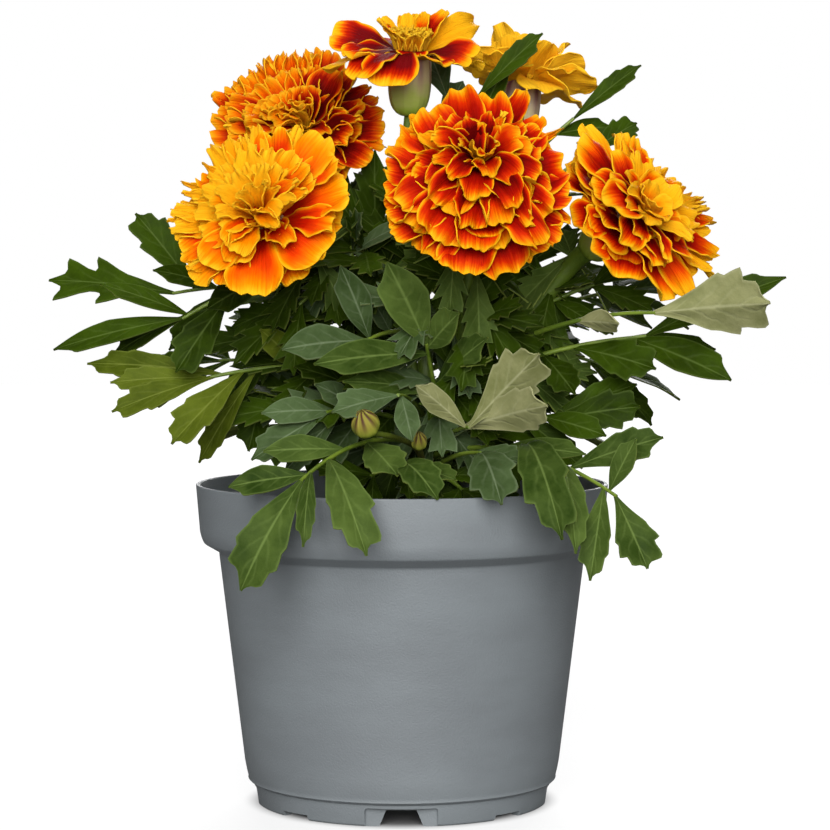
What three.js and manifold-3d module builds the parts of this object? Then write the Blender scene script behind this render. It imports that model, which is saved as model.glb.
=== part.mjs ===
// A potted French marigold: a nursery pot, its compost, and one bushy plant with six open flower heads.
// Millimetres, +Z up. The origin is the centre of the pot's foot ring, on the surface that the pot stands on.
// The front is -Y and the right is +X. Azimuths are in degrees about +Z, from the right towards the back.
import * as THREE from 'three';
import { mergeVertices } from 'three/addons/utils/BufferGeometryUtils.js';
import Module from 'manifold-3d';

const wasm = await Module();
wasm.setup();

// ---- Driving dimensions ----
const GAP = 0.35; // clearance between two pieces that touch

const POT = { height: 93, rim: 60, wall: 1.2, sides: 40 };
const BAND = { height: 17, taper: 1.2, shoulder: 2.5 };
const WALL = { lower: 45.8, upper: 53.4 };
const FOOT = { radius: 42.6, height: 6.8, width: 3.2, floor: 4.6, round: 4 };
const DRAIN = { count: 4, baseWidth: 14, topWidth: 7.3, height: 4.2 };
const NOTCH = { width: 11, height: 1.6 };
const HOLE = { count: 8, radius: 3, circle: 31 };

const COMPOST = { edge: 80, crown: 82.5 };
const ROOT_PLUG = 12; // how far the main stem reaches down into the compost

const STEM_SIDES = 6;
const BRANCH = { radius: 1.6, tipRadius: 1.2 };
const BUD_STALK = { radius: 0.9, tipRadius: 0.8 };

const CALYX = { length: 18, baseRadius: 2.2, radius: 6.2, sides: 12, rib: 0.05 };
const FLORET_LOBES = 9;
const LOBE_DEPTH = 0.05;

const RACHIS = { radius: 0.85, tipRadius: 0.5, steps: 4 };
const LEAFLET = { widthShare: 0.34, fold: 0.2, thickness: 0.8, droop: 0.15, bow: 0.05 };
const PAIRS = { first: 0.42, nearSplay: 40, farSplay: 58, nearSize: 0.9, farSize: 0.68 };

// ---- Vectors ----
const vec = (x, y, z) => new THREE.Vector3(x, y, z);
const UP = vec(0, 0, 1);
const radians = THREE.MathUtils.degToRad;
const along = (a, b, t) => a + (b - a) * t;
const from = (point, axis, distance) => point.clone().addScaledVector(axis, distance);

// Two unit vectors square to an axis: the normal is as near to "up" as it can be.
function squareTo(axis, up = UP) {
  const side = vec(0, 0, 0).crossVectors(axis, up).normalize();
  return { side, normal: vec(0, 0, 0).crossVectors(side, axis) };
}

// ---- Solids ----
// A closed surface through a list of rings. A ring of one point closes an end to a tip.
function loft(rings) {
  const vertices = rings.flat();
  const faces = [];
  let low = 0;
  for (let k = 0; k + 1 < rings.length; k++) {
    const high = low + rings[k].length;
    const count = Math.max(rings[k].length, rings[k + 1].length);
    for (let i = 0; i < count; i++) {
      const j = (i + 1) % count;
      if (rings[k].length === 1) faces.push(low, high + i, high + j);
      else if (rings[k + 1].length === 1) faces.push(low + j, low + i, high);
      else faces.push(low + i, high + i, high + j, low + i, high + j, low + j);
    }
    low = high;
  }
  const geometry = new THREE.BufferGeometry().setFromPoints(vertices);
  geometry.setIndex(faces);
  return geometry;
}

// A ring of points square to an axis. reach(i) is the distance of point i from the centre.
function ring(centre, axis, count, reach, up = UP) {
  const { side, normal } = squareTo(axis, up);
  return Array.from({ length: count }, (_, i) => {
    const turn = (2 * Math.PI * i) / count;
    const point = from(centre, normal, reach(i) * Math.cos(turn));
    return point.addScaledVector(side, -reach(i) * Math.sin(turn));
  });
}

function solid(geometry) {
  const bare = geometry.clone();
  bare.deleteAttribute('normal');
  bare.deleteAttribute('uv');
  const merged = mergeVertices(bare, 1e-4);
  return new wasm.Manifold(
    new wasm.Mesh({
      numProp: 3,
      vertProperties: new Float32Array(merged.attributes.position.array),
      triVerts: new Uint32Array(merged.index.array),
    }),
  );
}

function geometryOf(manifold) {
  const mesh = manifold.getMesh();
  const geometry = new THREE.BufferGeometry();
  geometry.setAttribute('position', new THREE.BufferAttribute(new Float32Array(mesh.vertProperties), 3));
  geometry.setIndex(new THREE.BufferAttribute(new Uint32Array(mesh.triVerts), 1));
  return geometry;
}

// A profile of [radius, height] pairs turned about the Z axis.
function turned(profile, sides) {
  const points = profile.map(([radius, height]) => new THREE.Vector2(radius, height));
  return new THREE.LatheGeometry(points, sides).rotateX(Math.PI / 2);
}

function uprightCylinder(x, y, bottom, top, radius, sides) {
  const cylinder = new THREE.CylinderGeometry(radius, radius, top - bottom, sides);
  return solid(cylinder.rotateX(Math.PI / 2).translate(x, y, (bottom + top) / 2));
}

// ---- Materials ----
const finish = (color, roughness) => new THREE.MeshStandardMaterial({ color, roughness, metalness: 0 });
const POT_PLASTIC = finish(0x75797c, 0.55);
const PEAT = finish(0x2c1f16, 1);
const STEM_GREEN = finish(0x5f7a1c, 0.6);
const CALYX_GREEN = finish(0x7d8442, 0.5);
const LEAF_GREEN = finish(0x3c5a26, 0.6);
const FLORET_RED = finish(0xc8330a, 0.6);
const FLORET_GOLD = finish(0xf5a010, 0.6);

const plant = new THREE.Group();

function add(name, geometry, material) {
  const mesh = new THREE.Mesh(geometry, material);
  mesh.name = name;
  plant.add(mesh);
}

// ---- Pot and compost ----
const bandFoot = POT.height - BAND.height;
const bandRadius = POT.rim - BAND.taper;
const floorTop = FOOT.floor + POT.wall;
const wallFoot = FOOT.height + FOOT.round;

function potShell() {
  return solid(
    turned(
      [
        [0, FOOT.floor],
        [FOOT.radius - FOOT.width, FOOT.floor],
        [FOOT.radius - FOOT.width, 0],
        [FOOT.radius, 0],
        [FOOT.radius + 0.9, FOOT.height - 0.6],
        [WALL.lower - 1, FOOT.height],
        [WALL.lower, wallFoot],
        [WALL.upper, bandFoot - BAND.shoulder],
        [bandRadius - 1, bandFoot],
        [bandRadius, bandFoot + BAND.shoulder],
        [POT.rim, POT.height],
        [POT.rim - POT.wall, POT.height],
        [bandRadius - POT.wall, bandFoot + BAND.shoulder],
        [WALL.upper - POT.wall, bandFoot + POT.wall - BAND.shoulder],
        [WALL.lower - POT.wall, wallFoot],
        [FOOT.radius - POT.wall, floorTop],
        [0, floorTop],
      ],
      POT.sides,
    ),
  );
}

// A wedge across the foot ring at an azimuth.
function footCut(azimuth, baseWidth, topWidth, height) {
  const shape = new THREE.Shape([
    new THREE.Vector2(-baseWidth / 2, -1),
    new THREE.Vector2(baseWidth / 2, -1),
    new THREE.Vector2(topWidth / 2, height),
    new THREE.Vector2(-topWidth / 2, height),
  ]);
  const depth = 3 * FOOT.width;
  const wedge = new THREE.ExtrudeGeometry(shape, { depth, bevelEnabled: false });
  wedge.rotateX(Math.PI / 2).translate(0, -FOOT.radius + depth * 0.8, 0);
  return solid(wedge.rotateZ(radians(azimuth - 270)));
}

function pot() {
  let shell = potShell();
  for (let i = 0; i < DRAIN.count; i++) {
    const azimuth = 270 + (360 * i) / DRAIN.count;
    shell = shell.subtract(footCut(azimuth, DRAIN.baseWidth, DRAIN.topWidth, DRAIN.height));
    shell = shell.subtract(footCut(azimuth + 45, NOTCH.width, NOTCH.width - 1, NOTCH.height));
  }
  for (let i = 0; i < HOLE.count; i++) {
    const turn = (2 * Math.PI * (i + 0.5)) / HOLE.count;
    const x = HOLE.circle * Math.cos(turn);
    const y = HOLE.circle * Math.sin(turn);
    shell = shell.subtract(uprightCylinder(x, y, FOOT.floor - 1, floorTop + 1, HOLE.radius, 10));
  }
  return geometryOf(shell);
}

function compost(stem) {
  const skin = POT.wall + GAP;
  const fill = solid(
    turned(
      [
        [0, floorTop + GAP],
        [FOOT.radius - skin, floorTop + GAP],
        [WALL.lower - skin, wallFoot],
        [WALL.upper - skin, bandFoot - BAND.shoulder + POT.wall],
        [bandRadius - skin, bandFoot + BAND.shoulder + GAP],
        [bandRadius - skin, COMPOST.edge],
        [0, COMPOST.crown],
      ],
      POT.sides,
    ),
  );
  const foot = stem.curve.getPointAt(0);
  const socket = uprightCylinder(foot.x, foot.y, foot.z - GAP, POT.height, stem.radius + GAP, 20);
  return geometryOf(fill.subtract(socket));
}

// ---- Flower heads ----
// The seat is the middle of the calyx's open top, and the axis is the way that the head faces.
// edge is the height over the seat of the outer florets' ends, split the height where the inner florets begin,
// and crown the height of the whole head. inner is the inner florets' share of the radius.
const head = (seat, axis, radius, edge, split, crown, inner) => ({
  seat,
  axis: axis.normalize(),
  radius,
  edge,
  split,
  crown,
  inner,
});
const HEADS = {
  left_front: head(vec(-37.5, -39, 169), vec(-0.2, -0.84, 0.5), 25, 4, 6, 15, 0.75),
  left_back: head(vec(-29.5, 18, 193), vec(-0.42, -0.28, 0.86), 27, 2, 7, 23, 0.84),
  top: head(vec(2.5, -2, 217), vec(0.03, -0.22, 0.97), 21.5, -3.5, 4.5, 12, 0.4),
  front: head(vec(20, -49, 176.5), vec(0.04, -0.9, 0.42), 28.5, 4, 7, 18, 0.78),
  right: head(vec(64, -17, 169.5), vec(0.6, -0.6, 0.52), 28.5, 3, 6, 17, 0.75),
  right_back: head(vec(36, 31, 210.5), vec(0.12, 0.38, 0.92), 19.5, 4.5, 6, 12, 0.7),
};

const calyxFoot = ({ seat, axis }) => from(seat, axis, -CALYX.length);

function calyx(head) {
  const profile = [
    [0, CALYX.baseRadius],
    [0.3, CALYX.radius * 0.78],
    [0.7, CALYX.radius],
    [1, CALYX.radius * 0.97],
  ];
  const ribbed = (radius) => (i) => radius * (i % 2 ? 1 - CALYX.rib : 1 + CALYX.rib);
  const rings = profile.map(([t, radius]) => {
    const centre = from(calyxFoot(head), head.axis, t * CALYX.length);
    return ring(centre, head.axis, CALYX.sides, ribbed(radius), vec(1, 0, 0));
  });
  return loft([[calyxFoot(head)], ...rings, [head.seat]]);
}

// One whorl of florets as a scalloped solid, from [height, radius] pairs.
function floretWhorl(head, profile, shift) {
  const at = (height) => from(head.seat, head.axis, height);
  const scalloped = (radius) => (i) => radius * ((i + shift) % 2 ? 1 + LOBE_DEPTH : 1 - LOBE_DEPTH);
  const rings = profile.map(([height, radius]) =>
    ring(at(height), head.axis, FLORET_LOBES * 2, scalloped(radius), vec(1, 0, 0)),
  );
  return loft([[at(profile[0][0])], ...rings, [at(profile[profile.length - 1][0])]]);
}

function outerFlorets(head) {
  const { radius, edge, split } = head;
  return floretWhorl(
    head,
    [
      [GAP, CALYX.radius],
      [along(GAP, edge, 0.5) + 1, radius * 0.6],
      [edge, radius * 0.95],
      [edge + 2, radius * 0.95],
      [split, radius * 0.5],
    ],
    0,
  );
}

function innerFlorets(head) {
  const { radius, edge, split, crown, inner } = head;
  const foot = Math.max(split, edge + 2) + GAP;
  return floretWhorl(
    head,
    [
      [split + GAP, radius * inner * 0.5],
      [foot + 0.5, radius * inner * 0.95],
      [along(foot, crown, 0.45), radius * inner],
      [along(foot, crown, 0.85), radius * inner * 0.7],
      [crown, radius * inner * 0.3],
    ],
    1,
  );
}

// ---- Stems ----
const smooth = (points) => new THREE.CatmullRomCurve3(points, false, 'catmullrom', 0.5);

// A stem's last stretch runs straight into the foot of its flower's calyx.
function into(head, straight) {
  const foot = calyxFoot(head);
  return [from(foot, head.axis, -straight), from(foot, head.axis, -GAP)];
}

// The point where a piece of the given radius, on its way to a target, starts clear of a stem.
function seatOn(stem, at, target, radius) {
  const centre = stem.curve.getPointAt(at);
  const tangent = stem.curve.getTangentAt(at);
  const way = target.clone().sub(centre).normalize();
  const lean = way.dot(tangent);
  const outward = from(way, tangent, -lean).normalize();
  return from(centre, outward, along(stem.radius, stem.tipRadius, at) + GAP + radius * Math.abs(lean));
}

const mainStem = {
  curve: smooth([vec(7, 0, COMPOST.crown - ROOT_PLUG), vec(7, 1, 110), vec(6, 3, 150), ...into(HEADS.top, 12)]),
  radius: 3,
  tipRadius: 1.3,
};

// A branch leaves the main stem at a share of its length and passes through the points of its way.
function branch(at, way, end, size = BRANCH) {
  const start = seatOn(mainStem, at, way[0], size.radius);
  return { curve: smooth([start, ...way, ...end]), ...size };
}

const BUDS = {
  left: { at: 0.2, way: [vec(4, -14, 104), vec(-2, -30, 108)], seat: vec(-9, -41, 110), radius: 3.4, length: 8 },
  right: { at: 0.16, way: [vec(6, -13, 100)], seat: vec(5, -26, 105), radius: 2.3, length: 6 },
};

const STEMS = {
  main: mainStem,
  left_front: branch(0.56, [vec(-4, -1, 156), vec(-20, -9, 158)], into(HEADS.left_front, 4)),
  left_back: branch(0.36, [vec(0, 8, 135), vec(-8, 17, 156)], into(HEADS.left_back, 6)),
  front: branch(0.26, [vec(14, -9, 122), vec(18, -18, 143)], into(HEADS.front, 6)),
  right: branch(0.32, [vec(20, 2, 127), vec(36, 2, 141)], into(HEADS.right, 5)),
  right_back: branch(0.44, [vec(13, 10, 147), vec(25, 18, 172)], into(HEADS.right_back, 6)),
};
const BUD_STALKS = Object.fromEntries(
  Object.entries(BUDS).map(([name, bud]) => [name, branch(bud.at, bud.way, [bud.seat], BUD_STALK)]),
);

function stemGeometry(stem, steps) {
  const lean = vec(0.3, 1, 0.15);
  const rings = Array.from({ length: steps + 1 }, (_, i) => {
    const t = i / steps;
    const radius = along(stem.radius, stem.tipRadius, t);
    return ring(stem.curve.getPointAt(t), stem.curve.getTangentAt(t), STEM_SIDES, () => radius, lean);
  });
  return loft([[stem.curve.getPointAt(0)], ...rings, [stem.curve.getPointAt(1)]]);
}

function budGeometry(bud, stalk) {
  const axis = stalk.curve.getTangentAt(1);
  const foot = from(bud.seat, axis, GAP);
  const profile = [
    [0, 0.35],
    [0.3, 0.95],
    [0.6, 1],
    [0.9, 0.5],
  ];
  const rings = profile.map(([t, share]) =>
    ring(from(foot, axis, t * bud.length), axis, 8, () => bud.radius * share, vec(1, 0, 0)),
  );
  return loft([[foot], ...rings, [from(foot, axis, bud.length)]]);
}

// ---- Leaves ----
// A leaf springs from a stem at a share of its length. Its stalk arcs to its end, `arch` over the straight line,
// and carries leaflets, each given by its place along the stalk (0 to 1), its tip, its width and, where it isn't
// the usual one, its bow as a share of its length. `face` is the way that the upper side of the leaf looks.
const leaf = (stem, at, end, arch, face, leaflets) => ({ stem, at, end, arch, face, leaflets });
const FRONT = vec(0, -1, 0.5).normalize();
const BEHIND = vec(0.1, 1, 0.2).normalize();
const RIGHT_SIDE = vec(0.3, -0.6, 1).normalize();
const LEFT_SIDE = vec(-0.3, -0.6, 1).normalize();

const LEAVES = {
  left_high: leaf('left_back', 0.42, vec(-69, 26, 148), 8, FRONT, [
    [1, vec(-108, 40, 152), 12],
    [0.9, vec(-80, 26, 172), 10],
    [0.8, vec(-73, 8, 155), 7],
    [0.72, vec(-70, 24, 131), 8],
  ]),
  left_mid: leaf('left_front', 0.7, vec(-63, -10, 141), 3, FRONT, [
    [1, vec(-101, -4, 132), 8],
    [0.96, vec(-86, -16, 151), 6.5],
    [0.96, vec(-85, 4, 130), 6.5],
    [0.62, vec(-64, -22, 126), 11],
    [0.36, vec(-55, -22, 144), 9],
  ]),
  left_low: leaf('main', 0.4, vec(-56, -14, 124), 8, FRONT, [
    [1, vec(-83, -18, 123), 7],
    [0.96, vec(-82, -24, 115), 8.5],
    [0.93, vec(-91, -6, 128), 8],
    [0.84, vec(-65, -26, 106), 12],
    [0.78, vec(-59, -4, 99), 6.5],
    [0.6, vec(-40, -20, 138), 8],
  ]),
  left_inner: leaf('main', 0.3, vec(-41, 6, 120), 8, FRONT, [
    [1, vec(-45, 2, 102), 9],
    [0.85, vec(-50, 12, 115), 7],
    [0.7, vec(-30, 8, 105), 8],
    [0.55, vec(-33, 10, 131), 8],
  ]),
  left_front_low: leaf('main', 0.28, vec(-21, -28, 115), 6, FRONT, [
    [1, vec(-42, -34, 102), 9],
    [0.93, vec(-39, -34, 115), 8],
    [0.85, vec(-33, -26, 98), 7.5],
    [0.7, vec(-24, -34, 123), 7],
  ]),
  rim_left: leaf('main', 0.25, vec(-27, -58, 98), 12, FRONT, [
    [1, vec(-43, -67, 69), 13, 0.14],
    [0.96, vec(-47, -54, 96), 8.5],
    [0.93, vec(-26, -70, 81), 5, 0.2],
    [0.8, vec(-9, -73, 79), 10.5, 0.2],
    [0.66, vec(-38, -44, 105), 8],
    [0.5, vec(-1, -52, 99), 11],
  ]),
  centre_up: leaf('front', 0.14, vec(7, -26, 134), 0, FRONT, [
    [1, vec(-4, -34, 157), 13],
    [0.95, vec(16, -34, 143), 10],
    [0.88, vec(-24, -42, 129), 10],
    [0.4, vec(24, -32, 136), 9],
    [0.3, vec(-16, -38, 124), 8],
  ]),
  centre_left: leaf('main', 0.5, vec(-10, -24, 135), 4, FRONT, [
    [1, vec(-33, -38, 133), 11],
    [0.95, vec(-17, -32, 156), 9],
    [0.6, vec(-8, -20, 146), 7],
  ]),
  centre_low: leaf('main', 0.31, vec(-1, -34, 120), 4, FRONT, [
    [1, vec(-19, -46, 116), 9.5],
    [0.9, vec(3, -46, 108), 7],
  ]),
  centre_right: leaf('main', 0.23, vec(19, -32, 111), 4, BEHIND, [
    [1, vec(38, -46, 132), 14],
    [0.95, vec(4, -40, 123), 7],
    [0.85, vec(40, -52, 118), 12],
  ]),
  low_front: leaf('main', 0.12, vec(-0, -40, 101), 5, FRONT, [
    [1, vec(10, -60, 93), 9, 0.2],
    [0.85, vec(15, -56, 98), 6],
    [0.6, vec(-8, -20, 101), 6],
  ]),
  low_right: leaf('main', 0.19, vec(22, -36, 104), 4, FRONT, [
    [1, vec(27, -64, 92), 12, 0.15],
    [0.85, vec(33, -48, 102), 8],
  ]),
  hanging_right: leaf('main', 0.23, vec(59, -50, 93), 14, FRONT, [
    [1, vec(67, -58, 74), 11],
    [0.97, vec(64, -52, 109), 6.5],
    [0.94, vec(51, -61, 71), 8, 0.12],
    [0.76, vec(72, -46, 109), 9.5],
    [0.72, vec(47, -67, 79), 8.5, 0.2],
    [0.52, vec(43, -70, 83), 12, 0.25],
    [0.4, vec(51, -40, 104), 7],
  ]),
  right_low: leaf('main', 0.31, vec(44, -14, 112), 6, FRONT, [
    [1, vec(68, -18, 116), 11],
    [0.96, vec(68, -6, 122), 8.5],
    [0.9, vec(58, -22, 108), 8],
    [0.7, vec(52, -12, 98), 8],
  ]),
  right_high: leaf('right', 0.3, vec(71, -32, 143), 8, BEHIND, [
    [1, vec(102, -40, 146), 17],
    [0.6, vec(61, -30, 140), 7],
  ]),
  right_mid: leaf('right', 0.14, vec(70, -14, 136), 6, FRONT, [
    [1, vec(109, -20, 153), 9],
    [0.94, vec(93, -26, 124), 12],
    [0.85, vec(91, -4, 132), 6],
    [0.65, vec(72, -22, 127), 12],
    [0.5, vec(49, -24, 120), 9],
  ]),
  top_right: leaf('right_back', 0.72, vec(51, 20, 200), 2, FRONT, [
    [1, vec(71, 22, 216), 8],
    [0.8, vec(63, 28, 198), 7],
  ]),
  top_tall: leaf('right_back', 0.62, vec(22, 10, 206), 2, FRONT, [
    [1, vec(41, 6, 224), 8.5],
    [0.8, vec(31, 16, 216), 7],
  ]),
  top_mid: leaf('main', 0.78, vec(14, 10, 204), 1, FRONT, [
    [1, vec(8, 24, 220), 9],
    [0.8, vec(18, 19, 211), 7],
  ]),
  right_upper: leaf('right_back', 0.45, vec(56, 16, 190), 3, FRONT, [
    [1, vec(70, 24, 199), 8.5],
    [0.8, vec(66, 28, 186), 8],
  ]),
};

// Leaves that grow in pairs of leaflets by rule, from the stem to the tip of the last leaflet.
const BUSHY = {
  back_left: { stem: 'left_back', at: 0.25, tip: vec(-46, 70, 140), arch: 12, size: 30, pairs: 3, face: UP },
  back_right: { stem: 'right_back', at: 0.2, tip: vec(52, 68, 150), arch: 10, size: 30, pairs: 3, face: UP },
  back_low: { stem: 'main', at: 0.24, tip: vec(4, 75, 108), arch: 24, size: 30, pairs: 3, face: UP },
  back_low_right: { stem: 'main', at: 0.18, tip: vec(62, 56, 100), arch: 20, size: 28, pairs: 3, face: UP },
  back_low_left: { stem: 'main', at: 0.17, tip: vec(-58, 58, 102), arch: 20, size: 28, pairs: 3, face: UP },
  back_high: { stem: 'left_back', at: 0.55, tip: vec(-10, 64, 173), arch: 4, size: 30, pairs: 3, face: UP },
  back_upper: { stem: 'right_back', at: 0.38, tip: vec(46, 58, 187), arch: 2, size: 28, pairs: 2, face: UP },
  right_side: { stem: 'main', at: 0.42, tip: vec(84, 30, 116), arch: 18, size: 30, pairs: 3, face: RIGHT_SIDE },
  back_side: { stem: 'right', at: 0.5, tip: vec(88, 40, 150), arch: 8, size: 28, pairs: 3, face: RIGHT_SIDE },
  left_side: { stem: 'main', at: 0.33, tip: vec(-82, 46, 124), arch: 16, size: 30, pairs: 3, face: LEFT_SIDE },
};

// The frame at a share t of a curve: a point, the way on, and the face made square to it.
function frameOn(curve, face) {
  return (t) => {
    const tangent = curve.getTangentAt(t);
    const { side, normal } = squareTo(tangent, face);
    return { point: curve.getPointAt(t), tangent, normal, side };
  };
}

// The stalk's curve, which starts clear of its stem.
function stalkCurve(stemName, at, end, arch) {
  const stem = STEMS[stemName];
  const lift = from(stem.curve.getPointAt(at).lerp(end, 0.5), UP, arch);
  return new THREE.QuadraticBezierCurve3(seatOn(stem, at, lift, RACHIS.radius), lift, end);
}

// A folded blade with a thin diamond section, bowed over the straight line from its root to its tip.
function blade(root, tip, width, face, bow) {
  const chord = tip.clone().sub(root);
  const { side, normal } = squareTo(chord.clone().normalize(), face);
  const curve = new THREE.QuadraticBezierCurve3(
    root,
    from(root.clone().lerp(tip, 0.5), normal, chord.length() * 2 * bow),
    tip,
  );
  const stations = [
    [0.3, 0.78],
    [0.66, 0.9],
  ];
  const rings = stations.map(([t, share]) => {
    const point = curve.getPoint(t);
    const half = (width / 2) * share;
    const rim = from(point, normal, half * LEAFLET.fold);
    return [
      from(point, normal, LEAFLET.thickness / 2),
      from(rim, side, -half),
      from(point, normal, -LEAFLET.thickness / 2),
      from(rim, side, half),
    ];
  });
  return solid(loft([[root], ...rings, [tip]]));
}

// The leaflets of a leaf that grows by rule, as for LEAVES.
function pairedLeaflets(curve, { size, pairs, tip, face }) {
  const frame = frameOn(curve, face);
  const leaflets = [[1, tip, size * LEAFLET.widthShare]];
  for (let pair = 0; pair < pairs; pair++) {
    const back = pairs > 1 ? pair / (pairs - 1) : 0;
    const at = along(0.96, PAIRS.first, back);
    const { point, tangent, side, normal } = frame(at);
    const splay = radians(along(PAIRS.nearSplay, PAIRS.farSplay, back));
    const length = size * along(PAIRS.nearSize, PAIRS.farSize, back);
    for (const hand of [-1, 1]) {
      const end = from(point, tangent, length * Math.cos(splay));
      end.addScaledVector(side, hand * length * Math.sin(splay)).addScaledVector(normal, -length * LEAFLET.droop);
      leaflets.push([at, end, length * LEAFLET.widthShare]);
    }
  }
  return leaflets;
}

function leafGeometry(curve, leaflets, face) {
  const rings = Array.from({ length: RACHIS.steps + 1 }, (_, i) => {
    const t = i / RACHIS.steps;
    const radius = along(RACHIS.radius, RACHIS.tipRadius, t);
    return ring(curve.getPointAt(t), curve.getTangentAt(t), 4, () => radius, face);
  });
  const end = from(curve.getPointAt(1), curve.getTangentAt(1), 3 * RACHIS.tipRadius);
  let whole = solid(loft([[curve.getPointAt(0)], ...rings, [end]]));
  for (const [at, tip, width, bow = LEAFLET.bow] of leaflets) {
    whole = whole.add(blade(curve.getPointAt(at * 0.99), tip, width, face, bow));
  }
  return geometryOf(whole);
}

function namedLeaf({ stem, at, end, arch, face, leaflets }) {
  return leafGeometry(stalkCurve(stem, at, end, arch), leaflets, face);
}

// The stalk ends where the leaflet at the tip begins.
function bushyLeaf(leaf) {
  const whole = stalkCurve(leaf.stem, leaf.at, leaf.tip, leaf.arch);
  const end = whole.getPointAt(1 - leaf.size / whole.getLength());
  const curve = stalkCurve(leaf.stem, leaf.at, end, leaf.arch * 0.6);
  return leafGeometry(curve, pairedLeaflets(curve, leaf), leaf.face);
}

// ---- Assembly ----
add('nursery_pot', pot(), POT_PLASTIC);
add('potting_compost', compost(mainStem), PEAT);
for (const [name, stem] of Object.entries(STEMS)) {
  const isMain = stem === mainStem;
  add(isMain ? 'main_stem' : `${name}_flower_stalk`, stemGeometry(stem, isMain ? 10 : 8), STEM_GREEN);
}
for (const [name, head] of Object.entries(HEADS)) {
  add(`${name}_calyx`, calyx(head), CALYX_GREEN);
  add(`${name}_outer_florets`, outerFlorets(head), FLORET_RED);
  add(name === 'top' ? 'top_disc_florets' : `${name}_inner_florets`, innerFlorets(head), FLORET_GOLD);
}
for (const [name, bud] of Object.entries(BUDS)) {
  add(`${name}_bud_stalk`, stemGeometry(BUD_STALKS[name], 5), STEM_GREEN);
  add(`${name}_bud`, budGeometry(bud, BUD_STALKS[name]), CALYX_GREEN);
}
for (const [name, leaf] of Object.entries(LEAVES)) add(`${name}_leaf`, namedLeaf(leaf), LEAF_GREEN);
for (const [name, leaf] of Object.entries(BUSHY)) add(`${name}_leaf`, bushyLeaf(leaf), LEAF_GREEN);

export default plant;
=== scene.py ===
"""A potted french marigold: six flower heads and two buds over dark, toothed leaves in a grey pot."""

import math
import random

import bmesh
import bpy
from mathutils import Matrix, Vector


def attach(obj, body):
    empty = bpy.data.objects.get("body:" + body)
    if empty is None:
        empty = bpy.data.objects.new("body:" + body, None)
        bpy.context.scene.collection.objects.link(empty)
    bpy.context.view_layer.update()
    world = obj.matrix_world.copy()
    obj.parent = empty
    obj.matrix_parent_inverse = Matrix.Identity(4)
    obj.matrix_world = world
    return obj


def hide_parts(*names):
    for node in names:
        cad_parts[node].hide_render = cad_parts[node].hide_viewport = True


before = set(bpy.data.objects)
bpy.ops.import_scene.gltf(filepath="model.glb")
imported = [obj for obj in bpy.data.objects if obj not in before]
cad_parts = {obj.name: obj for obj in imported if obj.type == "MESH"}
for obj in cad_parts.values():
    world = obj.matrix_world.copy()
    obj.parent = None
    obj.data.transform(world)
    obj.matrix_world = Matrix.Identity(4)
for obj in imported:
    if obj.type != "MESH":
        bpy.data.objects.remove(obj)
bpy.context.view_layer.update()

# ---- Sizes, in millimetres and degrees ----
MM = 0.001
POT = {"height": 93, "rim": 60, "wall": 1.2, "steps": 160}
BAND = {"height": 17, "taper": 1.2, "shoulder": 2.5, "undercut": 1}
WALL = {"lower": 45.8, "upper": 53.4}
FOOT = {"radius": 42.6, "height": 6.8, "width": 3.2, "floor": 4.6, "round": 4, "flare": 0.9}
DRAIN = {"count": 4, "base_width": 14, "top_width": 8.5, "height": 4.55}
RECESS = {"width": 20.5, "height": 5.3, "face": 40.9, "depth": 10, "round": 0.8}
NOTCH = {"width": 11, "height": 1.6}
HOLE = {"count": 8, "radius": 3, "circle": 31, "sides": 24, "depth": 6}
CUT_BELOW = 1  # how far the cutters reach below the foot
COMPOST = {"edge": 80, "crown": 82.5, "gap": 0.5, "lip": 1, "step": 6, "inset": 2, "rings": 17}
SEAM = [(1.1, 0), (0.75, 0.35), (0.85, 0.8)]
CRUMBS = {"kinds": 3, "count": 420, "uneven": 0.35, "margin": 3}
MAIN_STEM = {"radius": 3, "tip": 1.3}
BRANCH = {"radius": 1.6, "tip": 1.2}
SWOLLEN = {"right": 3.2, "front": 1.8}  # the tips of two stalks that thicken under their heads
BUD_STALK = {"radius": 0.9, "tip": 0.8}
RACHIS = {"radius": 0.9, "tip": 0.5}
CALYX = {"length": 18, "radius": 6.2, "ribs": 8}
CALYX_ROWS = [0.44, 0.78, 0.91, 0.97, 1.0, 1.0, 0.99, 0.97, 0.95]
BUD_ROWS = [0.4, 0.8, 0.97, 1.0, 0.97, 0.86, 0.62, 0.25]
BUD_RIBS = 6
DISC = {"florets": 26, "sides": 3, "radius": 4.6, "foot": 1.5, "low": 5.5, "high": 8, "width": 2.6}
LENS = {"focal": 119.15, "sensor": 36, "down": 2.917}
GOLDEN_TURN = 137.5
LEAF_THICKNESS = 0.4
PETAL_THICKNESS = 0.3
PETAL_TWIST = 24
PETAL_GAIN = 1.2  # how much wider petals are made than the width their tables give
# Of the pair nearest to a leaf's end and of the farthest: its place on the stalk, its splay and its size.
PAIRS = {"place": (0.96, 0.42), "splay": (40, 58), "size": (0.9, 0.68)}
LEAFLET = {"width_share": 0.34, "side_width": 1.15, "droop": 0.15, "bow": 0.05,
           "cup": (25, 60), "twist": 22}


def mm(x, y, z):
    """A place or a step, given in millimetres."""
    return Vector((x, y, z)) * MM


UP = Vector((0, 0, 1))
CAMERA = Vector((0.0038, -0.8, 0.1535))
FRONT = Vector((0, -1, 0.5)).normalized()
BEHIND = Vector((0.1, 1, 0.2)).normalized()
RIGHT_SIDE = Vector((0.3, -0.6, 1)).normalized()
LEFT_SIDE = Vector((-0.3, -0.6, 1)).normalized()


# ---- Hand tools ----
def deselect():
    """Leaves nothing selected."""
    bpy.ops.object.select_all(action="DESELECT")


def take(piece):
    """Makes this piece the only one selected, and the active one."""
    if bpy.context.selected_objects != [piece]:
        deselect()
        piece.select_set(True)
    bpy.context.view_layer.objects.active = piece


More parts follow.
